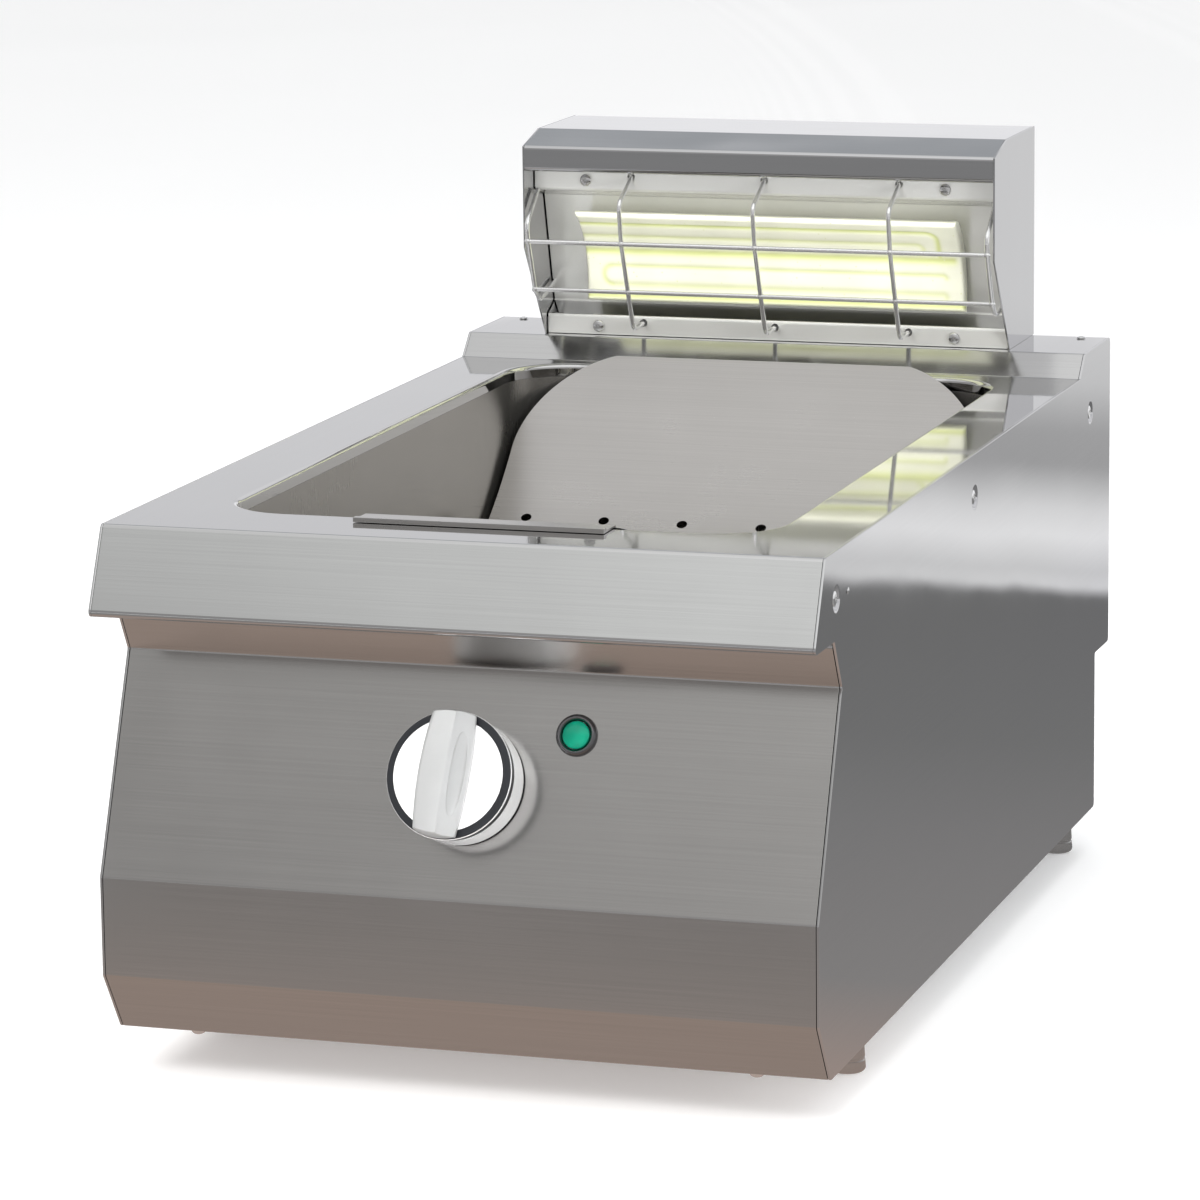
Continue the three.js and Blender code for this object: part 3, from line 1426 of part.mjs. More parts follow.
// Heater lead: from the heater's neck, down through the grommet and the rear of the body to the terminals
function heaterLead() {
  const neckY = wallDepth(neckLevel()) + hoodSheet + heaterNeckReach + seatGap;
  const leadY = rearY - leadBack;
  const blockY = rearLowY - terminalSetback + terminalDepth;
  const blockX = -terminalAcross - terminalWidth / 2;
  const topZ = neckLevel();
  const low = bodyBottomZ + 2 * sheet + terminalHeight / 2;
  const behindWell = rearLowY - leadBehindWell;
  const points = [
    [0, neckY, topZ],
    [0, neckY + leadDiameter / 2, topZ],
    [0, leadY - leadDiameter / 4, topZ - leadDiameter / 2],
    [0, leadY, topZ - 2 * leadDiameter],
    [0, leadY, upstandZ],
    [0, leadY, upstandZ - 4 * leadDiameter],
    [0, (leadY + behindWell) / 2, rearStepZ + 6 * leadDiameter],
    [blockX / 4, behindWell, rearStepZ],
    [(blockX * 3) / 4, behindWell, low + 3 * leadDiameter],
    [blockX, blockY + 2 * leadDiameter, low + leadDiameter / 4],
    [blockX, blockY + leadDiameter / 2, low],
    [blockX, blockY + seatGap, low],
  ].map(([x, y, z]) => new THREE.Vector3(x, y, z));
  const extrudePath = new THREE.CatmullRomCurve3(points, false, "centripetal");
  return new THREE.ExtrudeGeometry(roundSection(leadDiameter), { steps: leadSteps, extrudePath });
}

addBody();
addHood();
addControls();
addFasteners();
addFeet();
addService();

export default group;
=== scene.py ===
"""Looks of the countertop chip warmer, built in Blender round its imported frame.

Sizes are in millimetres in the frame's own axes: X to the right, Y to the back, Z up, with the
origin on the floor. Meshes are turned into metres when they are handed to the frame.
"""
import logging
from dataclasses import dataclass
from enum import Enum
from math import asin, atan2, cos, exp, hypot, pi, radians, sin, sqrt
from typing import Callable, Iterable, Optional, Sequence, Union

import bmesh
import bpy
from mathutils import Matrix, Vector


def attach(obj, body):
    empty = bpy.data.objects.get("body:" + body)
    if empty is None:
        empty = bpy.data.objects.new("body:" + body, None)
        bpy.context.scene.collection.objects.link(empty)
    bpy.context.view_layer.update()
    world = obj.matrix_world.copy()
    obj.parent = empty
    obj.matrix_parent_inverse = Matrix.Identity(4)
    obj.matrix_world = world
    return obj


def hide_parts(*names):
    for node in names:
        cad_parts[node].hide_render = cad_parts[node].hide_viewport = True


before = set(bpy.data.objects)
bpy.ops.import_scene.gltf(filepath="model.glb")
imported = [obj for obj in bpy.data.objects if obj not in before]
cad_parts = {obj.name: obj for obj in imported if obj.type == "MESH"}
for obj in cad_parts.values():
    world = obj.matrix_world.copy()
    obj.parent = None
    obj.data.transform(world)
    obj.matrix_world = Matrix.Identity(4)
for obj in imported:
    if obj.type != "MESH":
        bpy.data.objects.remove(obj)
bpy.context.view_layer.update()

LOG = logging.getLogger("chip_warmer")
MM = 0.001

Point = tuple[float, float]
Place = tuple[float, float, float]
Color = tuple[float, float, float]
Mesh = bpy.types.Mesh
Socket = bpy.types.NodeSocket
Shade = Union[Color, Socket]


class Grain(Enum):
    """Which way the brushing of a sheet runs."""

    ALONG_X = (0.004, 1.0, 1.0)
    ALONG_Y = (1.0, 0.004, 1.0)
    ALONG_Z = (1.0, 1.0, 0.004)
    NONE = (1.0, 1.0, 1.0)


class Side(Enum):
    """Left and right of the warmer, as seen from its front."""

    LEFT = -1
    RIGHT = 1

    @property
    def word(self) -> str:
        """The side's word in the names of pieces."""
        return self.name.lower()


@dataclass(frozen=True)
class Layout:
    """Levels and planes that several pieces share, in millimetres."""

    front_y: float = -339.5
    rear_y: float = 360.5
    side_x: float = 200.0
    sheet: float = 1.5
    bend: float = 1.5
    gap: float = 0.3
    worktop_z: float = 305.0
    worktop_front_y: float = -317.5
    apron_bottom_z: float = 258.0
    apron_lip: float = 45.0
    recess_top_y: float = -300.5
    fascia_top_y: float = -285.5
    fascia_top_z: float = 231.0
    shin_y: float = -333.0
    shin_top_z: float = 115.0
    shin_bottom_z: float = 60.0
    toe_y: float = -310.5
    bottom_z: float = 26.0
    flange: float = 20.0
    upstand_foot_y: float = 275.5
    upstand_front_y: float = 289.5
    upstand_z: float = 318.6
    rear_hem_z: float = 293.6
    rear_step_z: float = 124.5
    rear_low_y: float = 321.5
    rear_flange: float = 40.0
    well_front_y: float = -264.5
    well_rear_y: float = 262.5
    well_half_width: float = 154.0
    well_corner: float = 38.0
    collar: float = 8.0
    foot_x: float = 180.0
    foot_front_y: float = -203.2
    foot_rear_y: float = 303.8
    side_screw_z: float = 280.0
    rivet_y: float = -274.5
    toe_screw: Point = (157.5, -302.5)
    upstand_screw: Point = (183.5, 350.7)
    hood_screw_x: float = 115.5
    upper_screw_z: float = 419.7
    lower_screw_z: float = 324.4
    knob_along: float = 62.665
    lamp_x: float = 59.0
    lamp_along: float = 33.5
    gland_x: float = -130.0
    gland_z: float = 76.0
    hood_front_y: float = 254.6
    hood_foot_y: float = 295.4
    hood_top_z: float = 450.0
    hood_half_width: float = 151.0
    hood_sheet: float = 1.2
    bezel_top_z: float = 442.2
    bezel_bottom_z: float = 426.5
    reflector_top_y: float = 273.9

    @property
    def inner_x(self) -> float:
        """Inside face of a side panel."""
        return self.side_x - self.sheet

    @property
    def hood_inner_x(self) -> float:
        """Inside face of a hood cheek."""
        return self.hood_half_width - self.hood_sheet

    @property
    def recess_top_z(self) -> float:
        """Top of the fascia, a seam below the apron."""
        return self.apron_bottom_z - self.gap

    @property
    def reflector_low_y(self) -> float:
        """Front of the reflector's lower band."""
        return self.reflector_top_y + 23.0


LAYOUT = Layout()


@dataclass(frozen=True)
class Bend:
    """A corner of a folded sheet's section, with the bend's inside radius."""

    y: float
    z: float
    radius: float = LAYOUT.bend


def worktop_path() -> list[Bend]:
    """Section of the worktop from its apron's lip to its rear hem."""
    lay = LAYOUT
    return [
        Bend(lay.front_y + lay.apron_lip, lay.apron_bottom_z), Bend(lay.front_y, lay.apron_bottom_z),
        Bend(lay.worktop_front_y, lay.worktop_z), Bend(lay.upstand_foot_y, lay.worktop_z),
        Bend(lay.upstand_front_y, lay.upstand_z), Bend(lay.rear_y, lay.upstand_z),
        Bend(lay.rear_y, lay.rear_hem_z),
    ]


def fascia_path() -> list[Bend]:
    """Section of the front fascia from its recess band to its toe."""
    lay = LAYOUT
    return [
        Bend(lay.recess_top_y + lay.flange, lay.recess_top_z), Bend(lay.recess_top_y, lay.recess_top_z),
        Bend(lay.fascia_top_y, lay.fascia_top_z), Bend(lay.shin_y, lay.shin_top_z),
        Bend(lay.shin_y, lay.shin_bottom_z), Bend(lay.toe_y, lay.bottom_z),
        Bend(lay.toe_y + lay.flange, lay.bottom_z),
    ]


def back_path() -> list[Bend]:
    """Section of the stepped back panel."""
    lay = LAYOUT
    return [
        Bend(lay.rear_y, lay.rear_hem_z - lay.gap), Bend(lay.rear_y, lay.rear_step_z),
        Bend(lay.rear_low_y, lay.rear_step_z), Bend(lay.rear_low_y, lay.bottom_z),
        Bend(lay.rear_low_y - lay.rear_flange, lay.bottom_z),
    ]


def side_screw_places() -> list[Point]:
    """Y and Z of the three screws on a side panel, from the front."""
    return [(y, LAYOUT.side_screw_z) for y in (-297.0, 3.7, 304.4)]


def foot_places() -> list[tuple[str, float, float]]:
    """Name, X and Y of each foot."""
    lay = LAYOUT
    return [(f"{row}_{side.word}", side.value * lay.foot_x, y)
            for row, y in (("front", lay.foot_front_y), ("rear", lay.foot_rear_y)) for side in Side]


def sheet_face(path: Sequence[Bend], side: int, thickness: float, depth: float, steps: int = 7) -> list[Point]:
    """One face of a folded sheet, moved from the drawn face towards the metal.

    Args:
        path: the drawn face's corners.
        side: 1 where the metal lies left of the path, -1 where it lies right.
        thickness: the sheet's thickness.
        depth: how far into the metal this face lies.
        steps: flats in each bend.

    Returns:
        The face's points in the Y-Z plane.
    """
    def normal(a: Bend, b: Bend) -> Vector:
        """Unit normal of the run from a to b, towards the metal."""
        run = Vector((b.y - a.y, b.z - a.z)).normalized()
        return Vector((-side * run.y, side * run.x))

    points: list[Point] = []
    for i, corner in enumerate(path):
        before = normal(path[i - 1], corner) if i else None
        after = normal(corner, path[i + 1]) if i < len(path) - 1 else None
        if before is None or after is None:
            only = before if after is None else after
            points.append((corner.y + depth * only.x, corner.z + depth * only.y))
            continue
        middle = (before + after) / (1 + before.dot(after))
        if corner.radius == 0:
            points.append((corner.y + depth * middle.x, corner.z + depth * middle.y))
            continue
        towards = (before.x * after.y - before.y * after.x) * side > 0
        reach = corner.radius + thickness if towards else -corner.radius
        start = atan2(before.y, before.x)
        turn = (atan2(after.y, after.x) - start + pi) % (2 * pi) - pi
        for k in range(steps + 1):
            angle = start + turn * k / steps
            arm = reach - depth
            points.append((
                corner.y + reach * middle.x - arm * cos(angle),
                corner.z + reach * middle.y - arm * sin(angle),
            ))
    return points


def quarter_turn(steps: int) -> list[float]:
    """Angles of a quarter turn in even steps, both ends included."""
    return [k / steps * pi / 2 for k in range(steps + 1)]


def rounded_outline(half_x: float, half_y: float, radius: float, margin: float, steps: int = 14) -> list[Point]:
    """Rounded rectangle round the origin, grown outwards by a margin.

    Args:
        half_x: half its width before it is grown.
        half_y: half its length before it is grown.
        radius: corner radius before it is grown.
        margin: growth on every side.
        steps: flats in each corner.

    Returns:
        Its points, counter-clockwise.
    """
    points = []
    for quarter, (sign_x, sign_y) in enumerate([(1, 1), (-1, 1), (-1, -1), (1, -1)]):
        for k in range(steps + 1):
            angle = (quarter + k / steps) * pi / 2
            points.append((
                sign_x * (half_x - radius) + (radius + margin) * cos(angle),
                sign_y * (half_y - radius) + (radius + margin) * sin(angle),
            ))
    return points


def well_ring(z: float, margin: float, shift: float = 0.0) -> list[Place]:
    """The well's outline at a height, grown by a margin and shifted along Y."""
    lay = LAYOUT
    middle = (lay.well_front_y + lay.well_rear_y) / 2 + shift
    half = (lay.well_half_width, (lay.well_rear_y - lay.well_front_y) / 2)
    return [(x, y + middle, z) for x, y in rounded_outline(*half, lay.well_corner, margin)]


def prism(outline: Sequence[Point], low: float, high: float, axis: str = "X") -> Mesh:
    """A closed solid with a plane outline, run along one axis.

    Args:
        outline: the two other coordinates of each corner, in axis order.
        low: where it starts.
        high: where it ends.
        axis: X, Y or Z.

    Returns:
        The mesh, with its faces pointing out.
    """
    place = {
        "X": lambda run, a, b: (run, a, b), "Y": lambda run, a, b: (a, run, b), "Z": lambda run, a, b: (a, b, run),
    }[axis]
    count = len(outline)
    verts = [place(run, a, b) for run in (low, high) for a, b in outline]
    faces = [tuple(range(count)), tuple(range(2 * count - 1, count - 1, -1))]
    faces += [(k, (k + 1) % count, count + (k + 1) % count, count + k) for k in range(count)]
    return mesh_from(verts, faces)


def mesh_from(verts: Sequence[Sequence[float]], faces: Sequence[Sequence[int]]) -> Mesh:
    """A mesh with joined corners and outward faces.

    Args:
        verts: corner places.
        faces: corner numbers of each face.

    Returns:
        The mesh.
    """
    mesh = bpy.data.meshes.new("work")
    mesh.from_pydata([tuple(v) for v in verts], [], [tuple(f) for f in faces])
    return tidied(mesh)


def tidied(mesh: Mesh) -> Mesh:
    """The same mesh with doubled corners joined and its faces pointing out."""
    bm = bmesh.new()
    bm.from_mesh(mesh)
    bmesh.ops.remove_doubles(bm, verts=bm.verts, dist=1e-4)
    bmesh.ops.dissolve_degenerate(bm, edges=bm.edges, dist=1e-5)
    bmesh.ops.recalc_face_normals(bm, faces=bm.faces)
    bm.to_mesh(mesh)
    bm.free()
    return mesh


def folded_sheet(path: Sequence[Bend], side: int, thickness: float, half_width: float) -> Mesh:
    """A folded sheet run along X, evenly about the middle."""
    outer = sheet_face(path, side, thickness, 0)
    inner = sheet_face(path, side, thickness, thickness)
    return prism(outer + inner[::-1], -half_width, half_width)


def loft(rings: Sequence[Sequence[Sequence[float]]], ends: bool = True, closed: bool = False) -> Mesh:
    """A skin through rings that have the same number of points.

    Args:
        rings: rings of X, Y, Z places.
        ends: whether the first and last ring are filled.
        closed: whether the last ring joins the first.

    Returns:
        The mesh.
    """
    count = len(rings[0])
    verts = [p for ring in rings for p in ring]
    faces: list[Sequence[int]] = []
    for r in range(len(rings) if closed else len(rings) - 1):
        near, far = r * count, ((r + 1) % len(rings)) * count
        faces += [(near + k, near + (k + 1) % count, far + (k + 1) % count, far + k) for k in range(count)]
    if ends and not closed:
        faces += [tuple(range(count)), tuple(range((len(rings) - 1) * count, len(rings) * count))]
    return mesh_from(verts, faces)


def turned(profile: Sequence[Point], segments: int = 64) -> Mesh:
    """A round solid about +Z.

    Args:
        profile: radius and height pairs, from axis to axis or back to the first pair.
        segments: flats round it.

    Returns:
        The mesh.
    """
    ring = [(cos(2 * pi * k / segments), sin(2 * pi * k / segments)) for k in range(segments)]
    rings = [[(radius * c, radius * s, height) for c, s in ring] for radius, height in profile]
    return loft(rings, ends=False)


def rod(diameter: float, start: Sequence[float], end: Sequence[float], segments: int = 32) -> Mesh:
    """A straight round bar between two places."""
    run = Vector(end) - Vector(start)
    mesh = turned([(0, 0), (diameter / 2, 0), (diameter / 2, run.length), (0, run.length)], segments)
    mesh.transform(Matrix.Translation(start) @ run.to_track_quat("Z", "Y").to_matrix().to_4x4())
    return mesh


def block(x: Point, y: Point, z: Point) -> Mesh:
    """A right-angled cutter or stiffener, never a piece of its own."""
    return prism([(y[0], z[0]), (y[1], z[0]), (y[1], z[1]), (y[0], z[1])], x[0], x[1])


def swept(points: Sequence[Vector], diameter: float, segments: int = 16) -> Mesh:
    """A round wire along a smooth line of points.

    Args:
        points: the wire's middle line.
        diameter: the wire's diameter.
        segments: flats round it.

    Returns:
        The closed wire.
    """
    rings = []
    lead = (points[1] - points[0]).normalized()
    across = lead.orthogonal().normalized()
    for i, place in enumerate(points):
        ahead = (points[min(i + 1, len(points) - 1)] - points[max(i - 1, 0)]).normalized()
        across = (across - ahead * across.dot(ahead)).normalized()
        other = ahead.cross(across)
        turns = [2 * pi * k / segments for k in range(segments)]
        rings.append([place + (across * cos(t) + other * sin(t)) * diameter / 2 for t in turns])
    return loft(rings)


def filleted(corners: Sequence[Vector], radius: float, steps: int = 8) -> list[Vector]:
    """A broken line with its inner corners rounded.

    Args:
        corners: the line's corners.
        radius: how far from a corner its rounding starts.
        steps: points in each rounding.

    Returns:
        The rounded line.
    """
    line = [corners[0]]
    for before, corner, after in zip(corners, corners[1:], corners[2:]):
        enter = corner + (before - corner).normalized() * radius
        leave = corner + (after - corner).normalized() * radius
        for k in range(steps + 1):
            t = k / steps
            line.append(enter * (1 - t) ** 2 + corner * 2 * t * (1 - t) + leave * t ** 2)
    return line + [corners[-1]]


def placed(mesh: Mesh, place: Sequence[float], facing: Sequence[float] = (0, 0, 1)) -> Mesh:
    """The mesh turned from +Z to a direction and moved to a place."""
    turn = Vector((0, 0, 1)).rotation_difference(Vector(facing)).to_matrix().to_4x4()
    mesh.transform(Matrix.Translation(place) @ turn)
    return mesh


class NodeBench:
    """Lays out the nodes of one tree."""

    def __init__(self, owner: bpy.types.ID) -> None:
        """Starts the tree of a material or world, empty but for its coordinates."""
        owner.use_nodes = True
        self.owner = owner
        self.tree = owner.node_tree
        self.tree.nodes.clear()
        self.coordinates = self.node("ShaderNodeTexCoord").outputs

    def node(self, kind: str, **settings: object) -> bpy.types.Node:
        """A new node with its settings."""
        made = self.tree.nodes.new(kind)
        for name, value in settings.items():
            setattr(made, name, value)
        return made

    def link(self, source: Socket, target: Socket) -> None:
        """Joins two sockets."""
        self.tree.links.new(source, target)

    def span(self, value: Socket, low: float, high: float, to_low: float = 0.0,
             to_high: float = 1.0, **settings: object) -> Socket:
        """The value carried from one range to another, and kept inside it."""
        node = self.node("ShaderNodeMapRange", clamp=True, **settings)
        for name, number in zip(("From Min", "From Max", "To Min", "To Max"), (low, high, to_low, to_high)):
            node.inputs[name].default_value = number
        self.link(value, node.inputs["Value"])
        return node.outputs["Result"]

    def math(self, operation: str, *values: Socket) -> Socket:
        """One sum, product or the like of one or two values."""
        node = self.node("ShaderNodeMath", operation=operation)
        for value, target in zip(values, node.inputs):
            self.link(value, target)
        return node.outputs[0]

    def sum(self, *values: Socket) -> Socket:
        """All the values added up."""
        total = values[0]
        for value in values[1:]:
            total = self.math("ADD", total, value)
        return total

    def axes(self, vector: Socket) -> bpy.types.NodeOutputs:
        """The vector's three numbers, by the names X, Y and Z."""
        node = self.node("ShaderNodeSeparateXYZ")
        self.link(vector, node.inputs["Vector"])
        return node.outputs

    def mix(self, share: Socket, low: Shade, high: Shade) -> Socket:
        """A colour between two, each a plain colour or a socket's."""
        node = self.node("ShaderNodeMix", data_type="RGBA")
        for shade, target in zip((low, high), (s for s in node.inputs if s.type == "RGBA")):
            if isinstance(shade, tuple):
                target.default_value = (*shade, 1)
            else:
                self.link(shade, target)
        self.link(share, node.inputs["Factor"])
        return next(s for s in node.outputs if s.type == "RGBA")

    def ramp(self, value: Socket, stops: Sequence[tuple[float, Color]]) -> Socket:
        """The colour that a row of stops gives to a value."""
        node = self.node("ShaderNodeValToRGB")
        for k, (at, tone) in enumerate(stops):
            row = node.color_ramp.elements
            stop = row[k] if k < 2 else row.new(at)
            stop.position, stop.color = at, (*tone, 1)
        self.link(value, node.inputs["Fac"])
        return node.outputs["Color"]

    def close(self, kind: str, glow: bpy.types.Node) -> None:
        """Ends the tree with an output of that kind."""
        self.link(glow.outputs[0], self.node(kind).inputs["Surface"])


class FinishBench(NodeBench):
    """Lays out one material on a Principled shader, in the object's own space."""

    def __init__(self, name: str) -> None:
        """Starts a material of that name with its shader."""
        super().__init__(bpy.data.materials.new(name))
        self.shader = self.node("ShaderNodeBsdfPrincipled")
        self.place = self.coordinates["Object"]
        self.close("ShaderNodeOutputMaterial", self.shader)

    def set(self, **values: object) -> None:
        """Sets the shader's own sockets; an underscore stands for a space in a socket's name."""
        for name, value in values.items():
            self.shader.inputs[name.replace("_", " ")].default_value = value

    def dye(self, tone: Socket, rough: Optional[Socket] = None) -> None:
        """Gives the shader its colour, and its roughness where that varies."""
        self.link(tone, self.shader.inputs["Base Color"])
        if rough is not None:
            self.link(rough, self.shader.inputs["Roughness"])

    def noise(self, scale: float, stretch: Sequence[float] = (1, 1, 1), detail: float = 3.0,
              rough: float = 0.5, warp: float = 0.0) -> Socket:
        """A noise in object space.

        Args:
            scale: cells to the metre.
            stretch: how the cells are scaled along each axis.
            detail: octaves.
            rough: weight of the finer octaves.
            warp: how far the cells are bent.

        Returns:
            The noise's factor.
        """
        mapping = self.node("ShaderNodeMapping")
        mapping.inputs["Scale"].default_value = stretch
        self.link(self.place, mapping.inputs["Vector"])
        noise = self.node("ShaderNodeTexNoise")
        for name, value in zip(("Scale", "Detail", "Roughness", "Distortion"), (scale, detail, rough, warp)):
            noise.inputs[name].default_value = value
        self.link(mapping.outputs["Vector"], noise.inputs["Vector"])
        return noise.outputs["Fac"]

    def spots(self, scale: float, size: float) -> Socket:
        """Sparse round specks: 1 inside a speck, 0 elsewhere."""
        cells = self.node("ShaderNodeTexVoronoi")
        cells.inputs["Scale"].default_value = scale
        self.link(self.place, cells.inputs["Vector"])
        return self.span(cells.outputs["Distance"], size * 0.6, size, 1.0, 0.0)

    def edges(self, radius: float) -> Socket:
        """1 on edges that handling has rubbed, 0 on flats."""
        bevel = self.node("ShaderNodeBevel", samples=4)
        bevel.inputs["Radius"].default_value = radius * MM
        dot = self.node("ShaderNodeVectorMath", operation="DOT_PRODUCT")
        self.link(bevel.outputs["Normal"], dot.inputs[0])
        self.link(self.node("ShaderNodeNewGeometry").outputs["Normal"], dot.inputs[1])
        return self.span(dot.outputs["Value"], 0.9, 0.995, 1.0, 0.0)

    def bumps(self, *layers: tuple[Socket, float]) -> None:
        """Puts height layers on the shader, each a socket and its depth in millimetres."""
        target = self.shader.inputs["Normal"]
        for height, depth in reversed(layers):
            bump = self.node("ShaderNodeBump")
            bump.inputs["Strength"].default_value = 1.0
            bump.inputs["Distance"].default_value = depth * MM
            self.link(height, bump.inputs["Height"])
            self.link(bump.outputs["Normal"], target)
            target = bump.inputs["Normal"]

    def along(self, axis: Place) -> None:
        """Points the shader's stretch of highlights along a direction of the piece."""
        vector = self.node("ShaderNodeVectorTransform", vector_type="VECTOR",
                           convert_from="OBJECT", convert_to="WORLD")
        vector.inputs["Vector"].default_value = axis
        self.link(vector.outputs["Vector"], self.shader.inputs["Tangent"])


@dataclass(frozen=True)
class Steel:
    """Stainless sheet: brushed, satin or near mirror, with rubbed edges and faint wiping marks."""

    name: str
    tone: Color = (0.60, 0.60, 0.60)
    roughness: float = 0.24
    spread: float = 0.06
    grain: Grain = Grain.NONE
    grain_depth: float = 0.0015
    grain_tone: float = 0.05
    waves: float = 0.0
    wave_pitch: float = 7.0
    stretch: float = 0.0
    specks: float = 0.0
    metal: float = 1.0
    ripple: float = 0.004
    rubbed: Color = (0.82, 0.82, 0.81)
    speck_tone: Color = (0.9, 0.9, 0.9)

    def build(self) -> bpy.types.Material:
        """The finish as a material."""
        bench = FinishBench(self.name)
        bench.set(Metallic=self.metal, Anisotropic=self.stretch)
        fine = bench.noise(2600, self.grain.value, detail=2)
        streaks = bench.noise(1300, self.grain.value, detail=4, rough=0.65)
        wiped = bench.noise(9, detail=4, warp=0.6)
        patch = bench.noise(34, detail=3)
        light = tuple(min(1.0, c * (1 + self.grain_tone)) for c in self.tone)
        dark = tuple(c * (1 - self.grain_tone) for c in self.tone)
        tone = bench.mix(bench.span(streaks, 0.3, 0.7), dark, light)
        tone = bench.mix(bench.span(bench.edges(0.6), 0, 1, 0, 0.5), tone, self.rubbed)
        if self.specks:
            tone = bench.mix(bench.spots(260, self.specks), tone, self.speck_tone)
        half = self.spread / 2
        rough = bench.sum(
            bench.span(wiped, 0.3, 0.7, self.roughness - half, self.roughness + half),
            bench.span(streaks, 0.3, 0.7, -half / 4, half / 4),
            bench.span(patch, 0.35, 0.65, -half / 3, half / 3),
        )
        bench.dye(tone, bench.span(rough, 0.02, 1.0, 0.02, 1.0))
        layers = [(fine, self.grain_depth), (patch, self.ripple)]
        if self.waves:
            layers.append((bench.noise(self.wave_pitch, detail=1.5), self.waves))
        bench.bumps(*layers)
        if self.stretch:
            bench.along({Grain.ALONG_X: (1, 0, 0), Grain.ALONG_Y: (0, 1, 0)}.get(self.grain, (0, 0, 1)))
        return bench.owner


@dataclass(frozen=True)
class Plastic:
    """Moulded plastic with a fine spark texture, slightly rubbed edges and dust in its hollows."""

    name: str
    tone: Color
    worn: Color
    roughness: float = 0.4
    texture: float = 0.01
    texture_pitch: float = 1800
    metallic: float = 0.0
    coat: float = 0.0

    def build(self) -> bpy.types.Material:
        """The finish as a material."""
        bench = FinishBench(self.name)
        bench.set(Metallic=self.metallic, Coat_Weight=self.coat, Coat_Roughness=0.08)
        grain = bench.noise(self.texture_pitch, detail=2)
        cloud = bench.noise(60, detail=4)
        tone = bench.mix(bench.span(cloud, 0.3, 0.7), tuple(c * 0.94 for c in self.tone), self.tone)
        tone = bench.mix(bench.span(bench.edges(0.5), 0, 1, 0, 0.35), tone, self.worn)
        rough = bench.sum(
            bench.span(cloud, 0.3, 0.7, self.roughness - 0.05, self.roughness + 0.05),
            bench.span(grain, 0.3, 0.7, -0.03, 0.03),
        )
        bench.dye(tone, rough)
        bench.bumps((grain, self.texture), (cloud, 0.0015))
        return bench.owner


@dataclass(frozen=True)
class Glaze:
    """Glazed ceramic: pale on the flats and deeper in the grooves, partly where the glaze pools and partly as painted
    shade in the hollows.
    """

    name: str = "heater_glaze"
    flat: Color = (0.96, 0.965, 0.78)
    pooled_and_painted_shade: Color = (0.77, 0.82, 0.36)
    rim: Color = (0.98, 0.98, 0.82)
    fleck: Color = (0.84, 0.86, 0.56)

    def build(self) -> bpy.types.Material:
        """The finish as a material, which reads the mesh's own record of where its grooves are."""
        bench = FinishBench(self.name)
        bench.set(Coat_Weight=0.35, Coat_Roughness=0.12, IOR=1.5)
        groove = bench.node("ShaderNodeAttribute", attribute_name="groove")
        cloud = bench.noise(26, detail=4)
        fleck = bench.noise(900, detail=2)
        tone = bench.mix(bench.span(cloud, 0.3, 0.7), self.flat, self.rim)
        # Painted shade: the grooves' deeper colour stands partly for pooled glaze and partly for the shade that falls
        # in them.
        tone = bench.mix(groove.outputs["Fac"], tone, self.pooled_and_painted_shade)
        tone = bench.mix(bench.spots(170, 0.10), tone, self.fleck)
        bench.dye(tone, bench.span(cloud, 0.3, 0.7, 0.28, 0.40))
        bench.bumps((fleck, 0.006), (cloud, 0.15))
        return bench.owner


@dataclass(frozen=True)
class TintedLens:
    """Clear coloured moulding over a reflector, with a faceted inside."""

    name: str = "green_lens"
    tone: Color = (0.001, 0.22, 0.13)
    deep: Color = (0.0005, 0.16, 0.095)

    def build(self) -> bpy.types.Material:
        """The finish as a material."""
        bench = FinishBench(self.name)
        bench.set(IOR=1.40, Coat_Weight=0.15, Coat_Roughness=0.06)
        cells = bench.noise(700, detail=1)
        cloud = bench.noise(120, detail=2)
        tone = bench.mix(bench.span(cloud, 0.35, 0.65), self.deep, self.tone)
        bench.dye(tone, bench.span(cells, 0.3, 0.7, 0.08, 0.18))
        bench.bumps((cells, 0.02))
        return bench.owner


@dataclass(frozen=True)
class GlassSleeve:
    """Braided glass-fibre sleeve of a lead that stands near the heat."""

    name: str = "glass_sleeve"
    tone: Color = (0.80, 0.75, 0.62)
    shade: Color = (0.52, 0.47, 0.36)

    def build(self) -> bpy.types.Material:
        """The finish as a material."""
        bench = FinishBench(self.name)
        bench.set(Sheen_Weight=0.2, Roughness=0.85)
        waves = []
        for turn in (0.8, -0.8):
            mapping = bench.node("ShaderNodeMapping")
            mapping.inputs["Rotation"].default_value = (turn, turn, 0)
            bench.link(bench.place, mapping.inputs["Vector"])
            wave = bench.node("ShaderNodeTexWave")
            wave.inputs["Scale"].default_value = 260
            bench.link(mapping.outputs["Vector"], wave.inputs["Vector"])
            waves.append(wave.outputs["Fac"])
        braid = bench.math("MULTIPLY", *waves)
        bench.dye(bench.mix(braid, self.shade, self.tone))
        bench.bumps((braid, 0.25))
        return bench.owner


class Rack:
    """Keeps each finish's material, so that it is made once."""

    def __init__(self) -> None:
        """Starts empty."""
        self.made: dict[str, bpy.types.Material] = {}

    def take(self, finish: object) -> bpy.types.Material:
        """The material of a finish."""
        if finish.name not in self.made:
            self.made[finish.name] = finish.build()
        return self.made[finish.name]


RACK = Rack()
PLAIN_STEEL = Steel("plain_steel", (0.50, 0.50, 0.51), 0.38, 0.10, Grain.NONE, 0.003, 0.05, waves=0.5)


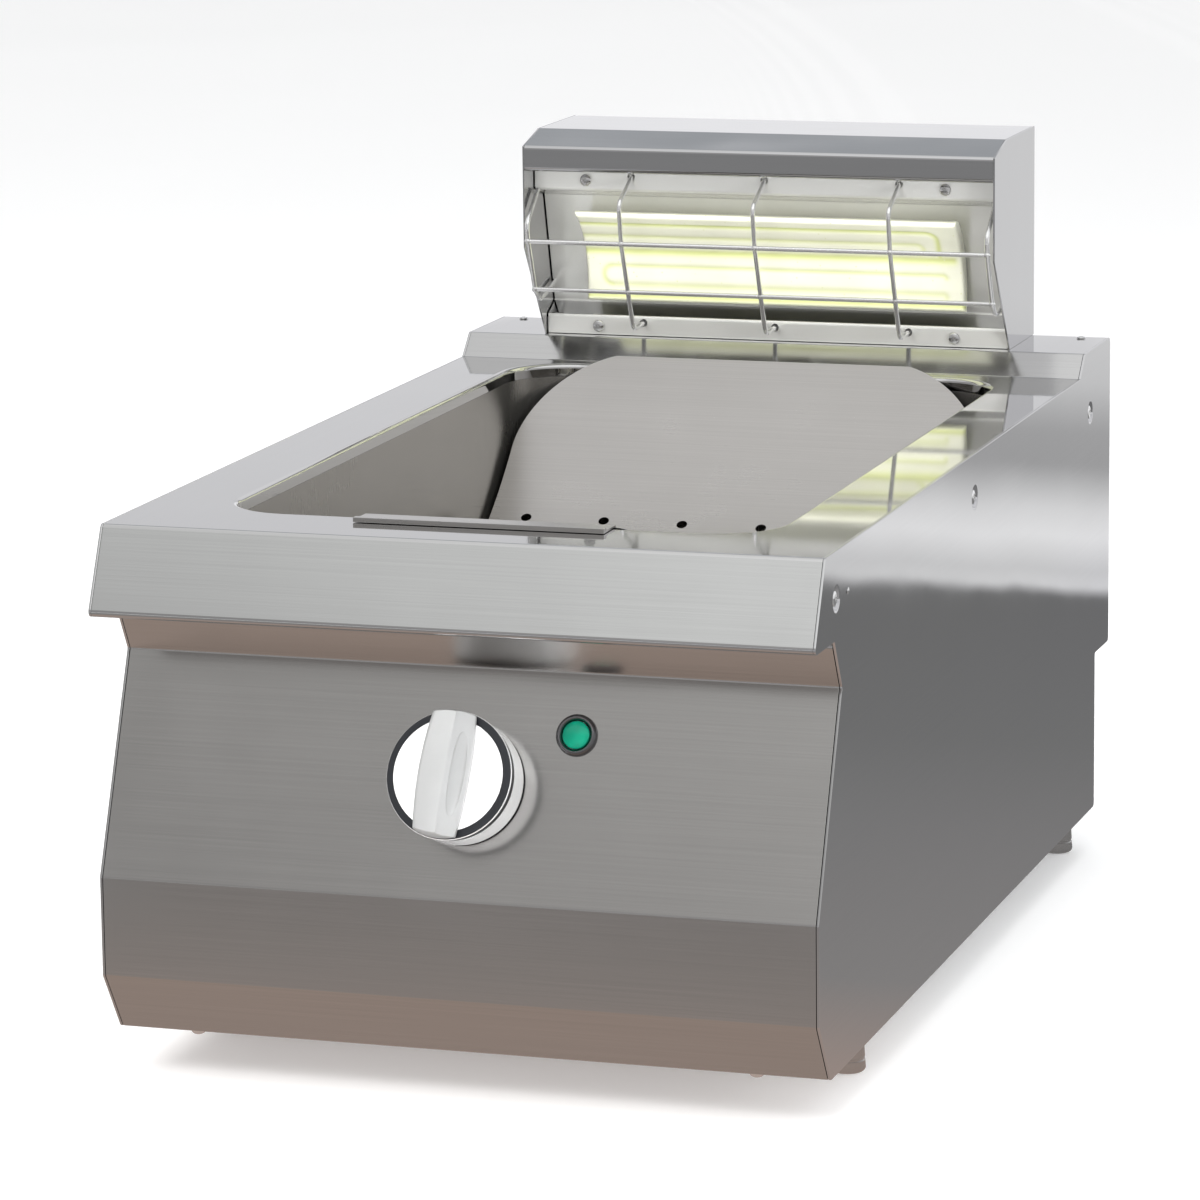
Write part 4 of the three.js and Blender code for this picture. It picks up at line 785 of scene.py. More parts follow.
class Workpiece:
    """A piece on the bench: its mesh is cut, joined and eased in millimetres, then fitted to the frame."""

    def __init__(self, name: str, mesh: Mesh) -> None:
        """Lays the mesh out as an object of that name."""
        self.name = name
        self.obj = bpy.data.objects.new(name, mesh)
        bpy.context.scene.collection.objects.link(self.obj)

    def settle(self) -> None:
        """Turns the object's modifiers into its mesh."""
        graph = bpy.context.evaluated_depsgraph_get()
        graph.update()
        old = self.obj.data
        new = bpy.data.meshes.new_from_object(
            self.obj.evaluated_get(graph), preserve_all_data_layers=True, depsgraph=graph)
        self.obj.modifiers.clear()
        self.obj.data = new
        bpy.data.meshes.remove(old)

    def worked(self, operation: str, tools: Iterable[Mesh]) -> "Workpiece":
        """The piece after one Boolean step with each tool.

        Args:
            operation: DIFFERENCE, UNION or INTERSECT.
            tools: the meshes to work with, which are used up.

        Returns:
            The piece itself.
        """
        for mesh in tools:
            tool = bpy.data.objects.new("tool", mesh)
            bpy.context.scene.collection.objects.link(tool)
            step = self.obj.modifiers.new("step", "BOOLEAN")
            step.operation, step.solver, step.object = operation, "EXACT", tool
            self.settle()
            bpy.data.objects.remove(tool)
            bpy.data.meshes.remove(mesh)
        return self

    def cut(self, *tools: Mesh) -> "Workpiece":
        """Takes the tools' room away."""
        return self.worked("DIFFERENCE", tools)

    def join(self, *tools: Mesh) -> "Workpiece":
        """Adds the tools' metal."""
        return self.worked("UNION", tools)

    def keep(self, *tools: Mesh) -> "Workpiece":
        """Keeps only what lies inside the tools."""
        return self.worked("INTERSECT", tools)

    def beside(self, *others: Mesh) -> "Workpiece":
        """Adds closed bodies to the same piece without working them together."""
        bm = bmesh.new()
        bm.from_mesh(self.obj.data)
        for other in others:
            bm.from_mesh(other)
            bpy.data.meshes.remove(other)
        bm.to_mesh(self.obj.data)
        bm.free()
        return self

    def ease(self, width: float, angle: float = 32, segments: int = 2) -> "Workpiece":
        """Breaks every sharp edge by a small rounding.

        Args:
            width: how far the rounding reaches from the edge.
            angle: edges that turn by more than this many degrees are broken.
            segments: flats in the rounding.

        Returns:
            The piece itself.
        """
        bm = bmesh.new()
        bm.from_mesh(self.obj.data)
        bmesh.ops.remove_doubles(bm, verts=bm.verts, dist=2e-3)
        bmesh.ops.dissolve_degenerate(bm, edges=bm.edges, dist=1e-3)
        bmesh.ops.dissolve_limit(bm, angle_limit=radians(0.3), verts=bm.verts, edges=bm.edges)
        bm.to_mesh(self.obj.data)
        bm.free()
        step = self.obj.modifiers.new("ease", "BEVEL")
        step.width, step.segments, step.limit_method = width, segments, "ANGLE"
        step.angle_limit, step.use_clamp_overlap = radians(angle), False
        step.miter_outer = "MITER_ARC"
        self.settle()
        return self

    def shade(self, angle: float = 40) -> "Workpiece":
        """Smooths the bends and keeps the flats flat.

        Args:
            angle: edges that turn by more than this many degrees stay crisp.

        Returns:
            The piece itself.
        """
        mesh = self.obj.data
        mesh.polygons.foreach_set("use_smooth", [True] * len(mesh.polygons))
        mesh.set_sharp_from_angle(angle=radians(angle))
        step = self.obj.modifiers.new("normals", "WEIGHTED_NORMAL")
        step.keep_sharp, step.mode, step.weight = True, "FACE_AREA", 50
        self.settle()
        return self

    def dress(self, *finishes: object) -> "Workpiece":
        """Puts the finishes in the piece's material slots."""
        self.obj.data.materials.clear()
        for finish in finishes:
            self.obj.data.materials.append(RACK.take(finish))
        return self

    def zone(self, slot: int, inside: Callable[[bpy.types.MeshPolygon], bool]) -> "Workpiece":
        """Gives the faces that pass a test another of the piece's finishes."""
        for polygon in self.obj.data.polygons:
            if inside(polygon):
                polygon.material_index = slot
        return self

    def fit(self, body: str, slot: str) -> None:
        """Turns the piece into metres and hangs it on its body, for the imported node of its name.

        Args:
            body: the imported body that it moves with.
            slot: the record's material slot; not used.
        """
        self.obj.data.transform(Matrix.Scale(MM, 4))
        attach(self.obj, body)
        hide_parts(self.name)
        LOG.info("%s: %d faces on %s", self.name, len(self.obj.data.polygons), body)


def domed(head: float, height: float, share: float, steps: int = 8) -> list[Point]:
    """Outline of a domed head from its rim to its crown.

    Args:
        head: the head's diameter.
        height: the head's height.
        share: how much of the height is domed.
        steps: flats in the dome.

    Returns:
        Radius and height pairs.
    """
    edge = height * (1 - share)
    return [(head / 2 * cos(t), edge + (height - edge) * sin(t)) for t in quarter_turn(steps)]


@dataclass(frozen=True)
class CrossScrew:
    """A cross-recessed screw with a domed head."""

    head: float
    height: float
    shank: float
    length: float
    share: float

    def mesh(self, name: str, turn: float) -> Workpiece:
        """The screw about +Z with its head's underside at zero.

        Args:
            name: the piece's name.
            turn: how far its cross is turned, in degrees.

        Returns:
            The screw on the bench.
        """
        body = turned([(0, -self.length), (self.shank / 2 - 0.5, -self.length), (self.shank / 2, -self.length + 0.6),
                       (self.shank / 2, 0), (self.head / 2, 0), *domed(self.head, self.height, self.share)], 40)
        piece = Workpiece(name, body)
        reach, half, floor = self.head * 0.27, self.head / 15, self.height * 0.4
        arms = []
        for quarter in (0, 90):
            arm = prism([(-reach * 0.4, floor), (reach * 0.4, floor), (reach, self.height + 1),
                         (-reach, self.height + 1)], -half, half)
            arm.transform(Matrix.Rotation(radians(turn + quarter), 4, "Z"))
            arms.append(arm)
        return piece.cut(*arms).ease(0.12, 35)


@dataclass
class Cabinet:
    """The box: side panels, fascia, worktop, back and base."""

    panel: Steel = Steel("side_panel_steel", (0.63, 0.63, 0.64), 0.075, 0.03, Grain.ALONG_Y, 0.0006, 0.02,
                         waves=0.9, wave_pitch=5.5, ripple=0.002)
    front: Steel = Steel("fascia_steel", (0.56, 0.55, 0.54), 0.19, 0.05, Grain.ALONG_X, 0.0014, 0.04,
                         waves=0.25, wave_pitch=6, stretch=0.35, specks=0.03)
    top: Steel = Steel("worktop_steel", (0.66, 0.66, 0.66), 0.045, 0.02, Grain.ALONG_Y, 0.0004, 0.015,
                       waves=0.25, wave_pitch=6)
    apron: Steel = Steel("apron_steel", (0.61, 0.61, 0.61), 0.13, 0.05, Grain.ALONG_X, 0.0014, 0.04, waves=0.3,
                         wave_pitch=5, stretch=0.3, specks=0.02)
    dimple: float = 14.6
    dimple_floor: float = 9.6
    dimple_depth: float = 2.2
    rim: float = 3.0
    cover: float = 0.7
    hanger_x: Point = (194.5, 196.0)
    lead_y: float = 332.5
    foot_hole: float = 8.6
    knob_hole: float = 11.6
    knob_hole_along: float = 62.67
    lamp_hole: float = 17.6
    gland_hole: float = 20.0

    def build(self) -> None:
        """Makes every sheet of the box."""
        for side in Side:
            self.side_panel(side)
        self.fascia()
        self.worktop()
        self.back()
        self.base()

    def foot_cuts(self) -> list[Mesh]:
        """Cutters for the feet's studs, from left to right and front to back."""
        low, high = LAYOUT.bottom_z - 2, LAYOUT.bottom_z + 5
        places = sorted((x, y) for _, x, y in foot_places())
        return [rod(self.foot_hole, (x, y, low), (x, y, high)) for x, y in places]

    def side_panel(self, side: Side) -> None:
        """One side: the whole profile with its flange and its dished screw seats."""
        lay, sign = LAYOUT, side.value
        top = sheet_face(worktop_path(), -1, lay.sheet, 0)
        back = sheet_face(back_path(), -1, lay.sheet, 0)
        front = sheet_face(fascia_path(), 1, lay.sheet, 0)[::-1]
        outline = [(lay.recess_top_y, lay.apron_bottom_z), *top[1:], *back[1:-1], *front[1:-8]]
        ends = sorted((sign * lay.inner_x, sign * lay.side_x))
        piece = Workpiece(f"{side.word}_side_panel", prism(outline, *ends))
        flange_x = sorted((sign * (lay.side_x - 40), sign * (lay.inner_x + lay.sheet / 2)))
        piece.join(block(tuple(flange_x), (lay.toe_y + 22, lay.rear_low_y - 42),
                         (lay.bottom_z, lay.bottom_z + 1.5)))
        face = lay.side_x
        well = face - self.dimple_depth
        ring = self.dimple / 2
        for y, z in side_screw_places():
            seat = [(0, well - lay.sheet), (self.dimple_floor / 2, well - lay.sheet), (ring + 1.2, lay.inner_x),
                    (0, lay.inner_x)]
            dish = [(0, well), (self.dimple_floor / 2 - 0.6, well), (self.dimple_floor / 2 + 0.3, well + 0.35),
                    (ring - 0.9, face - 0.35), (ring + 0.3, face + 0.02), (ring + 0.3, face + 2), (0, face + 2)]
            bore = [(0, well - 4), (2.25, well - 4), (2.25, face), (0, face)]
            facing = (sign, 0, 0)
            piece.join(placed(turned(seat, 48), (0, y, z), facing))
            piece.cut(placed(turned(dish, 48), (0, y, z), facing), placed(turned(bore, 32), (0, y, z), facing))
        rivet = (lay.rivet_y, lay.side_screw_z)
        piece.cut(rod(3.0, (sign * 195, *rivet), (sign * 203, *rivet)), *self.foot_cuts())
        piece.ease(0.35).shade().dress(self.panel).fit("body", "body_steel")

    def fascia(self) -> None:
        """The folded front with the knob's and the lamp's holes."""
        lay = LAYOUT
        piece = Workpiece("front_fascia", folded_sheet(fascia_path(), 1, lay.sheet, lay.inner_x - lay.gap))
        holes = ((self.knob_hole, 0, self.knob_hole_along), (self.lamp_hole, lay.lamp_x, lay.lamp_along))
        for hole, x, along in holes:
            piece.cut(rod(hole, Controls.place(x, along, -4), Controls.place(x, along, 3)))
        x, y = lay.toe_screw
        for side in Side:
            piece.cut(rod(4.5, (side.value * x, y, lay.bottom_z - 2), (side.value * x, y, lay.bottom_z + 4)))
        piece.ease(0.3).shade().dress(self.front).fit("body", "fascia_steel")

    def worktop(self) -> None:
        """The folded worktop with the well's rounded opening and its side hangers."""
        lay = LAYOUT
        piece = Workpiece("worktop", folded_sheet(worktop_path(), -1, lay.sheet, lay.inner_x))
        collar_z, under = lay.worktop_z - lay.collar, lay.worktop_z - self.cover
        piece.join(loft([well_ring(collar_z, lay.sheet), well_ring(under, lay.sheet)]))
        rings = [well_ring(collar_z - 2, 0), well_ring(lay.worktop_z - self.rim, 0)]
        for turn in quarter_turn(8)[1:]:
            rings.append(well_ring(lay.worktop_z - self.rim * (1 - sin(turn)), self.rim * (1 - cos(turn))))
        rings.append(well_ring(lay.worktop_z + 2, self.rim))
        piece.cut(loft(rings))
        screw_x, screw_y = lay.upstand_screw
        depth = (lay.upstand_z - 4.6, lay.upstand_z + 2.4)
        for side in Side:
            x, hanger = side.value * screw_x, sorted(side.value * x for x in self.hanger_x)
            piece.join(block(tuple(hanger), (-309.5, 352.5), (263, under)))
            piece.cut(rod(4.0, (x, screw_y, depth[0]), (x, screw_y, depth[1])))
        piece.cut(rod(13.6, (0, self.lead_y, depth[0]), (0, self.lead_y, depth[1])))
        piece.ease(0.35).shade().dress(self.top, self.apron)
        piece.zone(1, lambda face: (face.center.y < lay.worktop_front_y + 1 and face.center.z < lay.worktop_z - 2)
                   or (face.normal.y < -0.5 and face.center.z > lay.worktop_z + 2))
        piece.fit("body", "body_steel")

    def back(self) -> None:
        """The stepped back with the gland's hole."""
        lay = LAYOUT
        piece = Workpiece("back_panel", folded_sheet(back_path(), -1, lay.sheet, lay.inner_x - lay.gap))
        x, y, z = lay.gland_x, lay.rear_low_y, lay.gland_z
        piece.cut(rod(self.gland_hole, (x, y - 4.5, z), (x, y + 2.5, z)), *self.foot_cuts())
        piece.ease(0.3).shade().dress(PLAIN_STEEL).fit("body", "plain_steel")

    def base(self) -> None:
        """The plate that closes the box below."""
        lay = LAYOUT
        piece = Workpiece("base_plate", block((-198.2, 198.2), (lay.toe_y + 11.25, lay.rear_low_y - 3),
                                              (lay.bottom_z + 1.5, lay.bottom_z + 3)))
        piece.cut(*self.foot_cuts(), block((-165.5, 165.5), (-310.5, -298.5), (26, 31)))
        piece.ease(0.25).shade().dress(PLAIN_STEEL).fit("body", "plain_steel")


@dataclass
class Tub:
    """The deep drawn well and the curved plate that lifts out of it."""

    well_steel: Steel = Steel("well_steel", (0.42, 0.405, 0.38), 0.24, 0.08, Grain.ALONG_Z, 0.002, 0.06, waves=0.5,
                              metal=0.92)
    plate_steel: Steel = Steel("insert_steel", (0.53, 0.515, 0.50), 0.30, 0.08, Grain.ALONG_X, 0.0022, 0.05,
                               waves=0.4, wave_pitch=5, stretch=0.3, specks=0.04)
    depth: float = 150.0
    floor_radius: float = 25.0
    draft: float = 0.03
    plate: float = 1.2
    half_width: float = 148.5
    crest: Point = (266.62, 310.5)
    floor_z: float = 193.0
    slope_run: float = 95.8
    sweep_run: float = 182.0
    front: Point = (-260.5, 306.5)
    front_foot_y: float = -246.5
    lip_y: float = -280.5
    lip_half: float = 70.0
    shoulder_half: float = 98.0
    shoulder_drop: float = 9.0
    corner_run: float = 75.0
    corner_depth: float = 50.0
    first_row_drop: float = 82.0
    top_z: float = 320.0
    past_x: float = 152.0
    hole: float = 6.5
    pitch: float = 50.0
    columns: int = 6
    floor_rows: int = 7

    def build(self) -> None:
        """Makes the well and its plate."""
        self.well()
        self.insert()

    def skin(self, margin: float, low: float) -> list[list[Place]]:
        """Rings of one face of the well, from its floor up."""
        top = LAYOUT.worktop_z - LAYOUT.collar
        rings = []
        for turn in quarter_turn(10):
            rise = self.floor_radius * (1 - cos(turn))
            inset = self.floor_radius * (1 - sin(turn))
            draft = self.draft * (self.depth - LAYOUT.collar - rise)
            rings.append(well_ring(low + rise, margin - inset - draft))
        return rings + [well_ring(top, margin)]

    def well(self) -> None:
        """The tub below the worktop's opening."""
        low = LAYOUT.worktop_z - self.depth
        mesh = loft(self.skin(1.5, low - 1.5) + self.skin(0, low)[::-1])
        Workpiece("well", mesh).shade().dress(self.well_steel).fit("body", "well_steel")

    def sweep(self, share: float) -> Point:
        """Y and Z on the plate's slope, from its crest at 0 to the flat floor at 1."""
        (y0, z0), y1, y2 = self.crest, self.crest[0] - self.slope_run, self.crest[0] - self.sweep_run
        a, b, c = (1 - share) ** 2, 2 * share * (1 - share), share ** 2
        return a * y0 + b * y1 + c * y2, a * z0 + (b + c) * self.floor_z

    def insert(self) -> None:
        """The curved, pierced plate with its round crest corners and its front lip."""
        lay = LAYOUT
        path = [Bend(*self.sweep(k / 40), 0) for k in range(41)]
        path += [Bend(self.front_foot_y, self.floor_z, 8), Bend(*self.front), Bend(self.lip_y, self.front[1])]
        piece = Workpiece("chute_insert", folded_sheet(path, 1, self.plate, self.half_width))
        low, high = self.floor_z - 4, 318.0
        tub = loft([well_ring(low, -5.5, 14), well_ring(high, -5.5)])
        middle = (lay.well_front_y + lay.well_rear_y) / 2
        shell = Workpiece("room", tub).join(
            block((-self.half_width, self.half_width), (middle, lay.upstand_foot_y), (low, high)),
            block((-self.shoulder_half, self.shoulder_half), (self.lip_y - 4, middle), (low, high)))
        piece.keep(shell.obj.data.copy())
        bpy.data.objects.remove(shell.obj)
        hem_y, hem_z = (self.lip_y - 1.5, self.lip_y + 2.8), (lay.worktop_z + 0.3, lay.worktop_z + 2.9)
        piece.join(block((-self.lip_half, self.lip_half), hem_y, hem_z))
        for side in Side:
            piece.cut(self.crest_corner(side.value), self.shoulder(side.value))
        rows = [self.crest[0] - self.sweep_run - row * self.pitch for row in range(self.floor_rows)]
        first = lay.worktop_z - self.first_row_drop
        slope = min((k / 200 for k in range(201)), key=lambda t: abs(self.sweep(t)[1] - first))
        (y0, z0), (y1, z1) = self.sweep(slope - 0.01), self.sweep(slope + 0.01)
        out = Vector((0, z0 - z1, y1 - y0)).normalized()
        at = Vector((0, *self.sweep(slope)))
        for column in range(self.columns):
            x = (column - (self.columns - 1) / 2) * self.pitch
            shift = Vector((x, 0, 0))
            piece.cut(rod(self.hole, at + shift - out * 4, at + shift + out * 4, 28))
            piece.cut(*(rod(self.hole, (x, y, self.floor_z - 4), (x, y, self.floor_z + 3), 28) for y in rows))
        piece.ease(0.22).shade().dress(self.plate_steel).fit("insert", "insert_steel")

    def crest_corner(self, sign: int) -> Mesh:
        """What leaves one large round corner at the plate's crest."""
        start_y, start_x, past_y = self.crest[0] - 48, self.half_width - self.corner_run, self.crest[0] + 4
        outline = [(sign * self.past_x, start_y), (sign * self.past_x, past_y), (sign * start_x, past_y)]
        for turn in reversed(quarter_turn(32)):
            outline.append((sign * (start_x + self.corner_run * cos(turn)), start_y + self.corner_depth * sin(turn)))
        return prism(outline, self.floor_z, self.top_z, "Z")

    def shoulder(self, sign: int) -> Mesh:
        """What leaves one flowing shoulder where the front wall rises to its lip."""
        low, run = LAYOUT.worktop_z - self.shoulder_drop, self.shoulder_half - self.lip_half
        outline = [(sign * self.past_x, low), (sign * self.past_x, self.top_z), (sign * self.lip_half, self.top_z)]
        for k in range(25):
            ease = (1 + cos(k / 24 * pi)) / 2
            outline.append((sign * (self.lip_half + run * k / 24), low + self.shoulder_drop * ease))
        return prism(outline, self.lip_y - 2, self.front_foot_y + 0.5, "Y")


@dataclass
class Hood:
    """The heater's hood: folded shell, cheeks, reflector, ceramic, wire guard."""

    steel: Steel = Steel("hood_steel", (0.60, 0.60, 0.61), 0.085, 0.03, Grain.ALONG_X, 0.0008, 0.025, waves=0.3)
    bright: Steel = Steel("reflector_steel", (0.86, 0.86, 0.83), 0.18, 0.05, Grain.NONE, 0.0010, 0.03, waves=0.4,
                          wave_pitch=9, metal=0.53)
    brow: Steel = Steel("brow_steel", (0.63, 0.63, 0.64), 0.09, 0.03, Grain.ALONG_X, 0.0008, 0.025, waves=3.2,
                        wave_pitch=8)
    wire: Steel = Steel("bright_wire", (0.92, 0.92, 0.92), 0.20, 0.06, Grain.NONE, 0.0008, 0.05, metal=0.9)
    glaze: Glaze = Glaze()
    brow_run: float = 31.4
    shelf: float = 22.0
    hang: float = 12.0
    rear_foot: float = 14.0
    cheek_z: float = 378.8
    wall_top: Point = (292.5, 408.0)
    wall_foot: Point = (311.0, 338.0)
    slot_z: Point = (360.5, 378.5)
    screw_hole: float = 4.0
    wire_diameter: float = 3.0
    wire_hole: float = 4.8
    wire_x: float = 86.0
    wire_ends_z: Point = (422.2, 327.0)
    guard_x: float = 147.0
    upper_bar: Point = (251.6, 383.0)
    lower_bar: Point = (264.5, 351.2)

    def build(self) -> None:
        """Makes every piece of the hood."""
        self.shell()
        for side in Side:
            self.cheek(side)
        self.reflector()
        Heater().build(self.glaze)
        self.guard()

    def shell(self) -> None:
        """Hanging flange, shelf, bezel, brow, top and rear in one folded sheet."""
        lay = LAYOUT
        hang_y = lay.hood_front_y + self.shelf
        path = [
            Bend(hang_y, lay.bezel_bottom_z - self.hang), Bend(hang_y, lay.bezel_bottom_z),
            Bend(lay.hood_front_y, lay.bezel_bottom_z), Bend(lay.hood_front_y, lay.bezel_top_z),
            Bend(lay.hood_front_y + self.brow_run, lay.hood_top_z), Bend(lay.rear_y, lay.hood_top_z),
            Bend(lay.rear_y, lay.upstand_z), Bend(lay.rear_y - self.rear_foot, lay.upstand_z),
        ]
        piece = Workpiece("hood_shell", folded_sheet(path, -1, lay.hood_sheet, lay.hood_inner_x))
        for side in Side:
            x, z = side.value * lay.hood_screw_x, lay.upper_screw_z
            piece.cut(rod(self.screw_hole, (x, hang_y - 4, z), (x, hang_y + 4, z)))
        piece.ease(0.25).shade().dress(self.steel, self.bright, self.brow)
        piece.zone(1, lambda face: face.center.z < lay.bezel_bottom_z - 1 and abs(face.center.y - hang_y) < 2)
        piece.zone(2, lambda face: face.center.y < lay.hood_front_y + self.brow_run and face.normal.z > 0.9
                   and face.center.z > lay.bezel_top_z)
        piece.fit("body", "hood_steel")

    def cheek(self, side: Side) -> None:
        """One end plate of the hood."""
        lay, sign = LAYOUT, side.value
        outline = [
            (lay.hood_front_y, self.cheek_z), (lay.hood_front_y, lay.bezel_top_z),
            (lay.hood_front_y + self.brow_run, lay.hood_top_z), (lay.rear_y, lay.hood_top_z),
            (lay.rear_y, lay.upstand_z), (lay.hood_foot_y, lay.upstand_z),
        ]
        ends = sorted((sign * lay.hood_inner_x, sign * lay.hood_half_width))
        piece = Workpiece(f"hood_{side.word}_cheek", prism(outline, *ends))
        piece.ease(0.35).shade().dress(self.steel).fit("body", "hood_steel")

    def reflector(self) -> None:
        """The folded mirror sheet behind the ceramic, with the holes that its screws and wires use, and painted shade
        on its lower slope.
        """
        lay = LAYOUT
        top, low = lay.reflector_top_y, lay.reflector_low_y
        path = [Bend(top, 426.2), Bend(top, 413.0), Bend(*self.wall_top), Bend(*self.wall_foot), Bend(low, 331.0),
                Bend(low, 318.9)]
        piece = Workpiece("reflector", folded_sheet(path, 1, lay.hood_sheet, lay.hood_inner_x - 0.6))
        piece.cut(block((-20, 20), (self.wall_top[0], self.wall_foot[0] + 4), self.slot_z))
        screws_z = (lay.upper_screw_z, lay.lower_screw_z)
        holes = [(self.screw_hole, side.value * lay.hood_screw_x, *screws_z) for side in Side]
        holes += [(self.wire_hole, x, *self.wire_ends_z) for x in (-self.wire_x, 0, self.wire_x)]
        for hole, x, upper, lower in holes:
            for y, z in ((top, upper), (low, lower)):
                piece.cut(rod(hole, (x, y - 3, z), (x, y + 4, z)))
        piece.ease(0.2).shade().dress(self.bright, self.steel)
        # Painted shade: the lower slope under the ceramic takes the darker hood steel instead of the reflector's own
        # finish, so that it reads dark where the ceramic shades it.
        piece.zone(1, lambda face: 331.3 < face.center.z < 337.6 and abs(face.normal.z) > 0.5)
        piece.fit("body", "reflector")

    def guard(self) -> None:
        """Two long bars and five bent uprights, with the small nuggets where they are welded."""
        rungs, end = (self.upper_bar, self.lower_bar), self.guard_x
        middle = [(274.5, self.wire_ends_z[0]), (246.8, 408.2), *rungs, (275.6, 326.1), (297.5, self.wire_ends_z[1])]
        outer = [(272.9, 413.0), (249.8, 393.8), *rungs, (274.4, 342.6), (306.9, 351.4)]
        bars = [swept([Vector((x, *rung)) for x in (-end, -end / 2, 0, end / 2, end)], self.wire_diameter)
                for rung in rungs]
        wires = []
        for x in (-end, -self.wire_x, 0, self.wire_x, end):
            corners = [Vector((x, y, z)) for y, z in (outer if abs(x) == end else middle)]
            wires.append(swept(filleted(corners, 5.0, 10), self.wire_diameter))
            for rung in rungs:
                belly = [(2.2 * cos(k * pi / 10), 2.1 * sin(k * pi / 10)) for k in range(-4, 5)]
                nugget = turned([(0, -2.1), *belly, (0, 2.1)], 20)
                wires.append(placed(nugget, (x, *rung), (1, 0, 0)))
        piece = Workpiece("wire_guard", bars[0]).beside(bars[1], *wires)
        piece.shade(50).dress(self.wire).fit("body", "bright_wire")


@dataclass
class Heater:
    """The arched ceramic: a trough whose face carries the raised turns of its buried winding."""

    half_length: float = 122.5
    top: Point = (269.8, 397.5)
    top_rise: float = 2.9
    run: float = 24.0
    drop: float = 56.0
    sagitta: float = 9.0
    thickness: float = 6.5
    edge: float = 2.6
    groove_depth: float = 0.8
    columns: int = 246
    rows: int = 108
    back_rows: int = 12

    def grooves(self) -> list[tuple[list[Point], float, float]]:
        """The face's grooves in millimetres along it and down it, each with half width and depth share."""
        end = self.half_length

        def arc(x: float, s: float, radius: float, start: float, stop: float) -> list[Point]:
            """Points round a turn, with angles in degrees from +X towards the foot of the face."""
            turns = [radians(start + (stop - start) * k / 8) for k in range(9)]
            return [(x + radius * cos(t), s + radius * sin(t)) for t in turns]

        return [
            ([(-end, 9.5), *arc(101, 16.5, 7, -90, 0), (108, 30)], 1.7, 1.0),
            ([(-end, 20.3), *arc(94, 24.6, 4.3, -90, 90)], 1.7, 0.6),
            # This wide groove and its deep colour also stand in part for the upper bar's shadow: painted shade.
            ([(-end, 32.2), (116, 32.2)], 2.8, 1.0),
            ([(-105, 42.2), *arc(109, 44.2, 2, -90, 0)], 1.6, 0.7),
            (arc(-105, 48.2, 6.0, 90, 270), 1.7, 0.8),
            ([(-105, 54.2), *arc(109, 56.2, 2, -90, 0)], 2.0, 0.55),
            ([(-end, 61.4), (end, 61.4)], 1.9, 1.0),
        ]

    def carving(self, x: float, s: float, lines: Sequence[tuple[list[Point], float, float]]) -> float:
        """How deep the face is grooved at a place, from 0 to 1."""
        deepest = 0.0
        for line, half, share in lines:
            for (ax, ay), (bx, by) in zip(line, line[1:]):
                if abs(s - ay) > 3 * half and abs(s - by) > 3 * half and (s - ay) * (s - by) > 0:
                    continue
                dx, dy = bx - ax, by - ay
                t = max(0.0, min(1.0, ((x - ax) * dx + (s - ay) * dy) / (dx * dx + dy * dy)))
                near = hypot(x - ax - t * dx, s - ay - t * dy) / half
                if near < 2.5:
                    deepest = max(deepest, share * exp(-near * near))
        return deepest

    def build(self, glaze: Glaze) -> None:
        """Makes the ceramic with its neck."""
        chord = hypot(self.run, self.drop)
        radius = chord ** 2 / (8 * self.sagitta) + self.sagitta / 2
        half = asin(chord / 2 / radius)
        lean = atan2(self.run, self.drop)
        reach = radius - self.sagitta
        centre = (self.top[0] + self.run / 2 - reach * cos(lean),
                  self.top[1] - self.drop / 2 - reach * sin(lean))
        length = 2 * half * radius
        lines = self.grooves()
        verts, depths = [], []

        def point(x: float, s: float, depth: float) -> Place:
            """A place on the arch, at a depth behind its face."""
            angle = lean + half - s / radius
            z = centre[1] + (radius + depth) * sin(angle)
            return (x, centre[0] + (radius + depth) * cos(angle), min(z, self.top[1] + self.top_rise))

        for c in range(self.columns + 1):
            x = self.half_length * (2 * c / self.columns - 1)
            for r in range(self.rows + 1):
                s = length * r / self.rows
                border = min(s, length - s, self.half_length - abs(x), self.edge)
                fall = self.edge - sqrt(max(0.0, self.edge ** 2 - (self.edge - border) ** 2))
                carved = self.carving(x, s, lines)
                verts.append(point(x, s, fall + self.groove_depth * carved))
                depths.append(carved)
            verts += [point(x, length * (1 - k / self.back_rows), self.thickness)
                      for k in range(self.back_rows + 1)]
            depths += [0.0] * (self.back_rows + 1)
        count = self.rows + self.back_rows + 2
        faces: list[tuple[int, ...]] = [
            (c * count + k, c * count + (k + 1) % count, (c + 1) * count + (k + 1) % count, (c + 1) * count + k)
            for c in range(self.columns) for k in range(count)]
        faces += [tuple(range(count)), tuple(range(self.columns * count, (self.columns + 1) * count))]
        mesh = bpy.data.meshes.new("ceramic")
        mesh.from_pydata(verts, [], faces)
        record = mesh.attributes.new("groove", "FLOAT", "POINT")
        record.data.foreach_set("value", depths)
        bm = bmesh.new()
        bm.from_mesh(mesh)
        bmesh.ops.recalc_face_normals(bm, faces=bm.faces)
        bm.to_mesh(mesh)
        bm.free()
        piece = Workpiece("ceramic_heater", mesh)
        neck = Workpiece("neck", block((-19, 19), (294.5, 309.9), (361.5, 377.5))).ease(1.5, 30, 3)
        piece.beside(neck.obj.data.copy())
        bpy.data.objects.remove(neck.obj)
        piece.shade(55).dress(glaze).fit("body", "ceramic")


